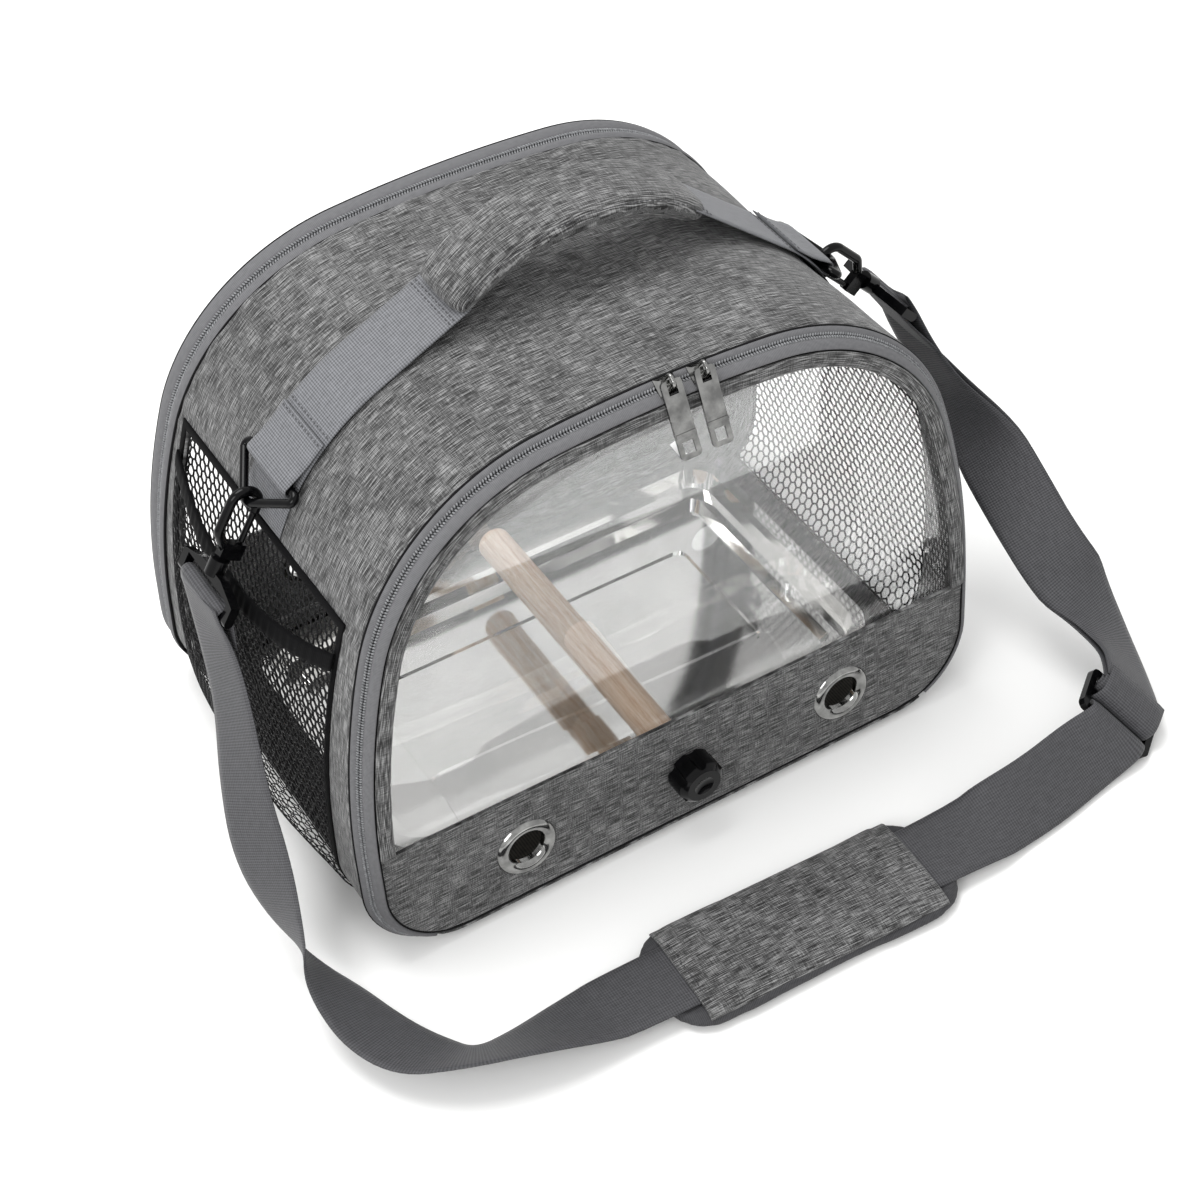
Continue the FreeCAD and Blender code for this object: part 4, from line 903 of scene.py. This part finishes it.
def strip(side, body):
    """Heather strip along the foot of the door, with holes for the eyelets and the knob, and a folded top edge."""
    edge = door_edge(side)
    foot = DOOR_LIFT + 1.7 - edge
    levels = np.concatenate([np.linspace(foot, 20.0, 7), np.linspace(20.0, STRIP_TOP, 24)[1:]])
    share = np.linspace(-1, 1, 121)
    rows, uvs, keep = [], [], []
    for z in levels:
        half = half_width(z, edge - 1.3) if z > foot + 0.05 else HALF_WIDTH - CORNER_RADIUS
        fold = 0.5 if z > STRIP_TOP - 5.0 else 0.0
        flat = []
        for x in share * half:
            slack = 0.35 * wave_of((1, x / 37 + z / 50), (0.6, x / 17 - z / 21)) * 0.5
            flat.append((x, -fold - slack, z))
        rows.append(stand_door(flat, side))
        uvs.append([(s * half, z) for s in share])
    for a, b in zip(levels, levels[1:]):
        z = (a + b) / 2
        half = half_width(z, edge - 1.3)
        line = []
        for s, q in zip(share, share[1:]):
            x = (s + q) / 2 * half
            eyelet = math.hypot(abs(x) - EYELET_X, z - EYELET_Z)
            knob = side == "front" and math.hypot(x, z - KNOB_Z) <= KNOB_HOLE
            line.append(eyelet > EYELET_HOLE and not knob)
        keep.append(line)
    mesh = tidy(sheet_mesh("strip", rows, uvs, False, keep), False)
    if side == "front":
        mesh.flip_normals()
    name = side + "_strip"
    return piece(name + "_cloth", thickened(mesh, CLOTH_THICK), HEATHER, body, [name])


def clear_window(side, body):
    """Clear sheet sewn behind the border: it swells a little from its seam and has a slow wave in it."""
    p, _ = seam_half(2.0)
    edge = door_edge(side)
    low, high = STRIP_TOP - 7.0, p[-1, 1] + edge - 5.6
    levels = low + (high - low) * np.sin(np.linspace(0, math.pi / 2, 40))
    share = np.sin(np.linspace(-math.pi / 2, math.pi / 2, 61))
    rows, uvs = [], []
    for z in levels:
        half = half_width(z, edge - 5.5) if z < high else 0.0
        flat = []
        for s in share:
            free = (1 - s ** 2) * min(1, (z - low) / 25) * min(1, (high - z) / 25)
            swell = 2.0 * (1 - math.exp(-4 * free))
            slack = free * wave_of((0.4, s * half / 33 + z / 29), (0.3, z / 23 - s * half / 60))
            flat.append((s * half, 2.3 - swell + slack, z))
        rows.append(stand_door(flat, side))
        uvs.append([(s * half, z) for s in share])
    mesh = tidy(sheet_mesh("clear", rows, uvs), False)
    if side == "front":
        mesh.flip_normals()
    name = side + "_window"
    return piece(name + "_sheet", thickened(mesh, SHEET_THICK), VINYL, body, [name])


for side in ("front", "back"):
    door = side + "_door"
    zipper(side, "bag", door)
    sill(side)
    border(side, door)
    strip(side, door)
    clear_window(side, door)


# Handle webbing and grip

# Angles round the shoulder in degrees, lengths in millimetres
WEB_WIDTH = 40.0
WEB_MID = 0.85
RING_PHI = 34.0
BAR_OUT = 4.3
LIFT_PHI = {"left": 64.0, "right": 50.0}
GRIP_X = {"left": 58.0, "right": 78.0}


def on_shoulder(phi, stand):
    """Point above the right shoulder of the gusset, in the middle of the bag's depth."""
    a, r = math.radians(phi), SHOULDER_RADIUS + BAND_OUT + stand
    return np.array([SHOULDER[0] + r * math.cos(a), 0.0, SHOULDER[1] + r * math.sin(a)])


def leg_direction(phi):
    """Direction in which the free webbing leaves the shoulder."""
    a = math.radians(phi)
    return np.array([-math.sin(a), 0.0, math.cos(a)])


def web_line(side):
    """Middle line of the right-hand webbing: sewn end, round the ring's bar, over the shoulder, to the grip."""
    bar = on_shoulder(RING_PHI, BAR_OUT)
    a = math.radians(RING_PHI)
    normal, up = np.array([math.cos(a), 0, math.sin(a)]), leg_direction(RING_PHI)
    line = [on_shoulder(phi, WEB_MID + 1.75 + lift) for phi, lift in ((47, 0.0), (44, 0.1), (41, 0.5), (38, 2.0))]
    for turn in np.linspace(0, 180, 9):
        t = math.radians(turn)
        line.append(bar + 3.45 * (normal * math.cos(t) - up * math.sin(t)))
    lift = LIFT_PHI[side]
    line += [on_shoulder(phi, WEB_MID) for phi in np.arange(RING_PHI + 2, lift + 0.1, 2.0)]
    foot, way = on_shoulder(lift, WEB_MID), leg_direction(lift)
    reach = (foot[0] - GRIP_X[side]) / -way[0] + 7.0
    line += [foot + way * d for d in np.arange(4.0, reach, 6.0)] + [foot + way * reach]
    return np.array(line)


def handle_web(side, sign):
    """Handle webbing with its folded ring loop and the flat tail sewn down below the ring."""
    across = np.array([0.0, 1.0, 0.0])
    flip = np.array([sign, 1.0, 1.0])
    line = web_line(side)
    loop = swept("web", line * flip, np.tile(across, (len(line), 1)), webbing_profile(WEB_WIDTH, WEB_THICK))
    tail = np.array([on_shoulder(phi, 0.35) for phi in np.arange(21.0, RING_PHI + 0.1, 1.5)])
    patch = swept("tail", tail * flip, np.tile(across, (len(tail), 1)), webbing_profile(WEB_WIDTH - 1.0, 0.7))
    name = side + "_handle_web"
    piece(name + "_webbing", joined([loop, patch]), HANDLE_WEBBING, "bag", [name])
    rows = []
    for phi in (48.5, 46.0):
        p = on_shoulder(phi, WEB_MID + (2.6 if phi < 47.5 else 0.85)) * flip
        normal = on_shoulder(phi, 1.0) - on_shoulder(phi, 0.0)
        rows.append(cross_stitches(p, across, 17.5, normal * flip))
    lift = LIFT_PHI[side]
    foot, way = on_shoulder(lift, WEB_MID + 0.85), leg_direction(lift)
    normal = on_shoulder(lift, 1.0) - on_shoulder(lift, 0.0)
    reach = (foot[0] - GRIP_X[side]) / -way[0]
    for back in (3.0, 5.6):
        p = (foot + way * (reach - back)) * flip
        rows.append(cross_stitches(p, across, 18.0, normal * flip))
    piece(side + "_web_stitches", joined(rows), THREAD, "bag")


for side, sign in (("left", -1), ("right", 1)):
    handle_web(side, sign)


CLOTH_FRAMES = 20


def points_of(mesh):
    """Places of a mesh's points in metres."""
    out = np.zeros(len(mesh.vertices) * 3, np.float32)
    mesh.vertices.foreach_get("co", out)
    return out.reshape(-1, 3)


def swollen(mesh, voxel, pressure, cap):
    """Padded form: remeshed, blown up as cloth under pressure, each point held to a limit, then smoothed."""
    obj = loose_object("padding", mesh)
    r = obj.modifiers.new("remesh", "REMESH")
    r.mode, r.voxel_size = "VOXEL", voxel * MM
    mesh = baked(obj)
    start = points_of(mesh)
    obj = loose_object("padding", mesh)
    cloth = obj.modifiers.new("cloth", "CLOTH")
    cloth.settings.use_pressure = True
    cloth.settings.uniform_pressure_force = pressure
    cloth.settings.effector_weights.gravity = 0.0
    cloth.settings.tension_stiffness = 12.0
    scene = bpy.context.scene
    for f in range(1, CLOTH_FRAMES + 1):
        scene.frame_set(f)
    mesh = baked(obj)
    scene.frame_set(1)
    move = points_of(mesh) - start
    far = np.linalg.norm(move, axis=1, keepdims=True)
    move *= np.minimum(1.0, cap * MM / np.maximum(far, 1e-9))
    mesh.vertices.foreach_set("co", (start + move).astype(np.float32).ravel())
    obj = loose_object("padding", mesh)
    s = obj.modifiers.new("smooth", "SMOOTH")
    s.factor, s.iterations = 0.5, 6
    d = obj.modifiers.new("fine", "SUBSURF")
    d.levels = d.render_levels = 1
    return baked(obj)


def flat_map(mesh, place):
    """UV map in metres from each point's place on the flat cloth."""
    layer = mesh.uv_layers.get("flat") or mesh.uv_layers.new(name="flat")
    spots = [place(v.co / MM) for v in mesh.vertices]
    for loop in mesh.loops:
        u, v = spots[loop.vertex_index]
        layer.data[loop.index].uv = (u * MM, v * MM)
    return mesh


GRIP_MID_X = 10.0
GRIP_HALF = 68.0
GRIP_END_Z = 290.6
GRIP_RISE = 27.0
GRIP_RADIUS = (GRIP_HALF ** 2 + GRIP_RISE ** 2) / (2 * GRIP_RISE)
GRIP_CENTRE = np.array([GRIP_MID_X, 0.0, GRIP_END_Z + GRIP_RISE - GRIP_RADIUS])
GRIP_SEAM_Y = 19.5
EDGE_STITCH_PITCH = 3.2


def squared(value, power):
    """Sine or cosine drawn towards its ends, for rings with flat sides."""
    return np.sign(value) * abs(value) ** power


def grip_point(turn, y, height):
    """Point on the bent grip: angle along its arc, across it and above its middle line."""
    r = GRIP_RADIUS + height
    return GRIP_CENTRE + np.array([r * math.sin(turn), y, r * math.cos(turn)])


def grip():
    """Padded grip bent over an arc, its cloth sewn down along both long edges."""
    end = math.asin(GRIP_HALF / GRIP_RADIUS)
    rows, uvs = [], []
    ring = np.linspace(0, 2 * math.pi, 33)
    for turn in np.linspace(-end, end, 49):
        close = 1 - 0.16 * abs(turn / end) ** 6
        rows.append([grip_point(turn, 24.0 * close * squared(math.cos(a), 0.55),
                                7.4 * close * squared(math.sin(a), 0.75)) for a in ring])
        uvs.append([(turn * GRIP_RADIUS, a * 20) for a in ring])
    mesh = swollen(capped(tidy(sheet_mesh("grip", rows, uvs))), 4.0, 3.0, 2.4)

    def place(co):
        x, z = co[0] - GRIP_CENTRE[0], co[2] - GRIP_CENTRE[2]
        return (GRIP_RADIUS * math.atan2(x, z), co[1] + (200 if math.hypot(x, z) < GRIP_RADIUS else 0))

    for v in mesh.vertices:
        x, z = v.co.x / MM - GRIP_CENTRE[0], v.co.z / MM - GRIP_CENTRE[2]
        height = math.hypot(x, z) - GRIP_RADIUS
        groove = math.exp(-((abs(v.co.y / MM) - GRIP_SEAM_Y) / 1.3) ** 2) * 0.9
        if abs(height) > 2:
            out = Vector((x, 0, z)).normalized() * (1 if height > 0 else -1)
            v.co -= out * groove * MM
    skin = BVHTree.FromPolygons([v.co.copy() for v in mesh.vertices], [tuple(f.vertices) for f in mesh.polygons])
    obj = piece("handle_grip_pad", flat_map(mesh, place), HEATHER, "bag", ["handle_grip"])
    rows = []
    for y in (-GRIP_SEAM_Y, GRIP_SEAM_Y):
        line = []
        for t in np.linspace(-end * 0.95, end * 0.95, 60):
            above, middle = grip_point(t, y, 14.0), grip_point(t, y, 0.0)
            hit = skin.ray_cast(Vector(above * MM), Vector(middle - above).normalized())[0]
            if hit:
                line.append(np.array(hit) / MM)
        out = unit(np.array(line) - GRIP_CENTRE - np.array([0, y, 0]))
        rows.append(bead_row(line, out, EDGE_STITCH_PITCH, (2.3, 0.6, 0.5), THREAD))
    piece("handle_grip_stitches", joined(rows), THREAD, "bag")


grip()


# Shoulder strap: points of its middle and of the direction across it, as the solid has them

LEVEL = (0, -1, 0)
ADJUSTER_WAY = (0.49, -0.56, -0.67)
STRAP_ROUTE = (
    ((-196.6, -9.0, 147.0), (0.10, -0.91, 0.40)),
    ((-192.4, 0.0, 171.0), LEVEL),
    ((-193.5, 0.0, 173.7), LEVEL),
    ((-196.2, 0.0, 174.8), LEVEL),
    ((-198.9, 0.0, 173.7), LEVEL),
    ((-200.0, 0.0, 171.0), LEVEL),
    ((-198.8, -9.0, 147.0), (0.10, -0.91, 0.40)),
    ((-203.0, -31.0, 127.0), (0.16, -0.81, 0.56)),
    ((-214.0, -58.0, 98.0), (0.31, -0.82, 0.49)),
    ((-219.0, -80.0, 67.0), (0.46, -0.78, 0.43)),
    ((-219.0, -102.0, 38.0), (0.10, -0.77, 0.63)),
    ((-216.0, -115.0, 23.0), (-0.35, -0.63, 0.69)),
    ((-211.0, -138.0, 15.0), (-0.71, -0.53, 0.47)),
    ((-205.0, -163.0, 11.0), (-0.83, -0.45, 0.33)),
    ((-194.0, -185.0, 11.5), (-0.72, -0.58, 0.38)),
    ((-175.0, -203.0, 16.0), (-0.35, -0.63, 0.69)),
    ((-146.0, -209.0, 16.0), (-0.12, -0.82, 0.56)),
    ((-116.0, -210.0, 11.5), (0, -0.97, 0.24)),
    ((-96.4, -210.4, 9.8), (-0.03, -1, 0)),
    ((111.4, -217.6, 9.8), (-0.03, -1, 0)),
    ((128.0, -218.5, 13.5), (0, -0.86, -0.50)),
    ((158.0, -217.0, 15.0), (0.18, -0.78, -0.60)),
    ((190.0, -211.0, 15.5), (0.30, -0.72, -0.62)),
    ((211.7, -211.3, 20.9), ADJUSTER_WAY),
    ((217.4, -207.0, 21.5), ADJUSTER_WAY),
    ((217.3, -203.5, 18.5), ADJUSTER_WAY),
    ((217.2, -200.1, 15.6), ADJUSTER_WAY),
    ((219.9, -196.6, 14.6), ADJUSTER_WAY),
    ((223.8, -195.1, 16.2), ADJUSTER_WAY),
    ((226.7, -196.5, 19.5), ADJUSTER_WAY),
    ((229.6, -197.8, 22.7), ADJUSTER_WAY),
    ((235.3, -193.6, 23.3), ADJUSTER_WAY),
    ((246.0, -170.0, 24.0), (0.50, -0.50, -0.70)),
    ((246.0, -142.0, 40.0), (0.55, -0.60, -0.58)),
    ((238.0, -118.0, 62.0), (0.50, -0.75, -0.43)),
    ((235.0, -88.0, 86.0), (0.45, -0.85, -0.27)),
    ((233.0, -52.0, 114.0), (0.30, -0.93, -0.20)),
    ((219.0, -20.0, 150.0), (0.10, -0.99, -0.10)),
    ((202.5, 0.0, 176.9), LEVEL),
    ((202.3, 0.0, 179.8), LEVEL),
    ((204.3, 0.0, 181.9), LEVEL),
    ((207.2, 0.0, 182.0), LEVEL),
    ((209.4, 0.0, 180.0), LEVEL),
    ((216.0, -20.2, 149.0), (0.10, -0.99, -0.10)),
    ((230.0, -53.0, 114.4), (0.30, -0.93, -0.20)),
    ((233.0, -89.6, 87.9), (0.45, -0.85, -0.27)),
    ((236.7, -120.1, 64.1), (0.50, -0.75, -0.43)),
    ((246.8, -143.7, 42.6), (0.55, -0.60, -0.58)),
    ((247.9, -171.3, 26.3), (0.50, -0.50, -0.70)),
    ((236.4, -195.4, 25.7), ADJUSTER_WAY),
    ((230.8, -199.6, 25.1), ADJUSTER_WAY),
    ((226.4, -200.2, 22.4), ADJUSTER_WAY),
    ((224.6, -198.0, 19.3), ADJUSTER_WAY),
    ((223.0, -197.3, 17.5), ADJUSTER_WAY),
    ((220.8, -198.1, 16.6), ADJUSTER_WAY),
    ((219.3, -200.1, 17.1), ADJUSTER_WAY),
    ((219.4, -202.0, 18.7), ADJUSTER_WAY),
    ((220.9, -204.4, 21.8), ADJUSTER_WAY),
    ((225.8, -206.1, 26.8), ADJUSTER_WAY),
    ((237.6, -197.2, 28.0), ADJUSTER_WAY),
)
LOOP_STITCH = 26.0
FRAME_TOP = np.array([205.7, 0.0, 182.0])


def spline_points(points):
    """Points read from a smooth spline that has these as its control points."""
    curve = bpy.data.curves.new("route", "CURVE")
    curve.dimensions = "3D"
    line = curve.splines.new("NURBS")
    line.points.add(len(points) - 1)
    for spot, p in zip(line.points, points):
        spot.co = (*[c * MM for c in p], 1.0)
    line.order_u = 3
    line.use_endpoint_u = True
    line.resolution_u = 6
    mesh = baked(loose_object("route", curve))
    return np.array([v.co for v in mesh.vertices]) / MM


def strap_length(name, middle, edge, stands_for):
    """One run of the strap's webbing; its length is worked out but not kept."""
    mesh = swept("strap", middle, edge - middle, webbing_profile(STRAP_WIDTH, STRAP_THICK))
    obj = piece(name, mesh, STRAP_WEBBING, "bag", stands_for)
    lengths(middle)[-1] * MM


def shoulder_strap():
    """One length of webbing on the route's own spline: the main run, and the run that returns to the adjuster."""
    middle = spline_points([p for p, _ in STRAP_ROUTE])
    edge = spline_points([np.array(p) + STRAP_WIDTH / 2 * np.array(w) for p, w in STRAP_ROUTE])
    top = int(np.argmin(np.linalg.norm(middle - FRAME_TOP, axis=1)))
    strap_length("shoulder_strap_main", middle[:top + 1], edge[:top + 1], ["shoulder_strap"])
    strap_length("shoulder_strap_return", middle[top:], edge[top:], ())
    loop = int(np.argmin(np.abs(lengths(middle) - LOOP_STITCH)))
    along = unit(middle[loop + 1] - middle[loop])
    across = unit(edge[loop] - middle[loop])
    rows = []
    for face in (1.0, -1.0):
        out = np.cross(along, across) * face
        rows.append(cross_stitches(middle[loop] + out, across, 18.0, out))
    piece("shoulder_strap_stitches", joined(rows), THREAD, "bag")


shoulder_strap()


# Shoulder pad

PAD_MIDDLE = np.array([7.5, -214.0, 0.0])
PAD_TURN = math.radians(-2.0)
PAD_HALF = 86.5
PAD_STRAIGHT = 56.0
COVER_HALF = 70
PRESSED_TOP, PRESSED_HALF = 8.5, 21


def pad_point(x, y, z):
    """Point of the pad from its own axes."""
    c, s = math.cos(PAD_TURN), math.sin(PAD_TURN)
    return PAD_MIDDLE + np.array([x * c - y * s, x * s + y * c, z])


def pad_width(x):
    """Half width of the pad along its length, with round ends."""
    over = np.clip((abs(x) - PAD_STRAIGHT) / (PAD_HALF + 1.0 - PAD_STRAIGHT), 0, 1)
    return 34.0 * (1 - over ** 2.6) ** 0.45


def pad_cushion():
    """Foam cushion in plain cloth that lies on the floor, pressed flat under the strap."""
    ring = np.linspace(0, 2 * math.pi, 33)
    rows, uvs = [], []
    for x in PAD_HALF * np.sin(np.linspace(-math.pi / 2, math.pi / 2, 57)):
        w = pad_width(x)
        h = 4.6 * min(1.0, 0.35 + w / 40)
        rows.append([pad_point(x, w * squared(math.cos(a), 0.5), 5.4 + h * squared(math.sin(a), 0.6)) for a in ring])
        uvs.append([(x, a * 15) for a in ring])
    mesh = swollen(capped(tidy(sheet_mesh("pad", rows, uvs))), 3.0, 2.5, 1.6)
    c, s = math.cos(PAD_TURN), math.sin(PAD_TURN)

    def place(co):
        x, y = co[0] - PAD_MIDDLE[0], co[1] - PAD_MIDDLE[1]
        return (x * c + y * s, y * c - x * s + co[2] * 0.8 + (90 if co[2] < 4.9 else 0))

    for v in mesh.vertices:
        y = (v.co.y / MM - PAD_MIDDLE[1]) * c - (v.co.x / MM - PAD_MIDDLE[0]) * s
        press = PRESSED_TOP if abs(y) < PRESSED_HALF else PRESSED_TOP + (abs(y) - PRESSED_HALF) * 0.5
        v.co.z = min(max(v.co.z, FLOOR_GAP * MM), press * MM)
    obj = piece("shoulder_pad_cushion", flat_map(mesh, place), PAD_CLOTH, "shoulder_pad", ["shoulder_pad"])


def cover_height(x, share):
    """Height of the pad's cover: crowned across, drawn down to the webbing at its ends."""
    ends = np.clip((COVER_HALF - abs(x)) / 18, 0, 1)
    return 8.2 + (3.9 + 1.5 * math.sin(ends * math.pi / 2)) * (1 - abs(share) ** 3.6) ** 0.55


def pad_cover():
    """Heather cover over the strap, sewn down along both sides, with straight folded ends."""
    rows, uvs = [], []
    for x in np.linspace(-COVER_HALF, COVER_HALF, 49):
        w = min(30.5, pad_width(x) - 1.5)
        row = []
        for y in np.linspace(-1, 1, 33):
            ripple = 0.2 * math.sin(x / 9 + 4 * y) * (1 - y ** 2)
            row.append(pad_point(x, y * w, cover_height(x, y) + ripple))
        rows.append(row)
        uvs.append([(x, y * w) for y in np.linspace(-1, 1, 33)])
    mesh = sheet_mesh("cover", rows, uvs)
    piece("shoulder_pad_cover", thickened(mesh, 1.4, rounding=0.5), HEATHER, "shoulder_pad", ())


def pad_stitches():
    """Stitching along the folded ends of the cover."""
    rows = []
    for x in (-66.5, 66.5):
        line = [pad_point(x, y, cover_height(x, y / 28.0) + 0.2) for y in np.linspace(-21, 21, 15)]
        rows.append(bead_row(line, (0, 0, 1), EDGE_STITCH_PITCH, (2.3, 0.6, 0.45), THREAD))
    piece("shoulder_pad_stitches", joined(rows), THREAD, "shoulder_pad")


pad_cushion()
pad_cover()
pad_stitches()


# Hard pieces keep their solids and get their finish

def dressed(material, *names):
    """Give solids their finish."""
    for name in names:
        NODES[name].data.materials.clear()
        NODES[name].data.materials.append(material)


dressed(STEEL, "tray")
dressed(BEECH, "perch")
dressed(BOARD, "base_board")
dressed(NICKEL, "perch_washer", "perch_stud", "front_eyelets", "back_eyelets")
dressed(BLACK_PLASTIC, "knob", "adjuster")
for side in ("left", "right"):
    dressed(BLACK_PLASTIC, *[side + "_" + part for part in ("ring", "hook", "gate", "strap_base")])
    dressed(NICKEL, *["%s_%s_%s" % (door, side, part) for door in ("front", "back") for part in ("slider", "pull")])


# Floor, light and camera

def floor():
    """Plain pale floor."""
    m, t, s = finish_of("pale_floor", Roughness=0.9, Specular_IOR_Level=0.1)
    coloured(t, s, noise(t, "Object", (400, 400, 400)), [(0.3, "#F2F2F1"), (0.7, "#F6F6F5")])
    mesh = bpy.data.meshes.new("floor")
    far = 6.0
    mesh.from_pydata([(-far, -far, 0), (far, -far, 0), (far, far, 0), (-far, far, 0)], [], [(0, 1, 2, 3)])
    mesh.materials.append(m)
    obj = loose_object("floor", mesh)
    obj.location.z = -0.5 * MM


def soft_light(name, place, aim, size, power):
    """Large soft lamp aimed at a point."""
    lamp = bpy.data.lights.new(name, "AREA")
    lamp.shape, lamp.size, lamp.energy = "DISK", size, power
    obj = loose_object(name, lamp)
    obj.location = place
    obj.rotation_euler = (Vector(aim) - Vector(place)).to_track_quat("-Z", "Y").to_euler()


def studio():
    """White surround with a soft lamp above and one at the left."""
    world = bpy.data.worlds.new("white_studio")
    bpy.context.scene.world = world
    world.use_nodes = True
    back = world.node_tree.nodes["Background"]
    back.inputs["Color"].default_value = rgb("#FFFFFF")
    back.inputs["Strength"].default_value = 0.95
    soft_light("top_lamp", (-0.3, 0.4, 1.9), (0, 0, 0.1), 1.2, 26)
    soft_light("left_lamp", (-1.5, -0.9, 1.3), (0, 0, 0.1), 1.0, 16)
    bpy.context.scene.view_settings.view_transform = "Standard"


# Camera of the photograph: turns in degrees, sizes on the picture in pixels, places in metres
CAMERA_TURNS = (-29.23, 43.51, -2.78)
CAMERA_AIM = Vector((0, 0, 0.107))
CAMERA_AWAY = 1.3373
PHOTO_WIDE = 1200
PHOTO_FOCAL = 2545.4
PHOTO_CENTRE = (558.97, 534.68)
SENSOR = 36.0


def photo_camera():
    """Camera with the photograph's place, turn, roll, lens and shift."""
    azimuth, elevation, roll = (math.radians(d) for d in CAMERA_TURNS)
    right = Vector((math.cos(azimuth), math.sin(azimuth), 0))
    level = math.cos(elevation)
    back = Vector((math.sin(azimuth) * level, -math.cos(azimuth) * level, math.sin(elevation)))
    up = back.cross(right)
    x = right * math.cos(roll) + up * math.sin(roll)
    y = up * math.cos(roll) - right * math.sin(roll)
    lens = bpy.data.cameras.new("photo_camera")
    lens.sensor_width = SENSOR
    lens.lens = SENSOR * PHOTO_FOCAL / PHOTO_WIDE
    middle = PHOTO_WIDE / 2
    lens.shift_x, lens.shift_y = (middle - PHOTO_CENTRE[0]) / PHOTO_WIDE, (PHOTO_CENTRE[1] - middle) / PHOTO_WIDE
    lens.clip_start, lens.clip_end = 0.05, 50.0
    obj = loose_object("photo_camera", lens)
    turn = Matrix((x, y, back)).transposed().to_4x4()
    obj.matrix_world = Matrix.Translation(CAMERA_AIM + back * CAMERA_AWAY) @ turn
    bpy.context.scene.camera = obj


floor()
studio()
photo_camera()
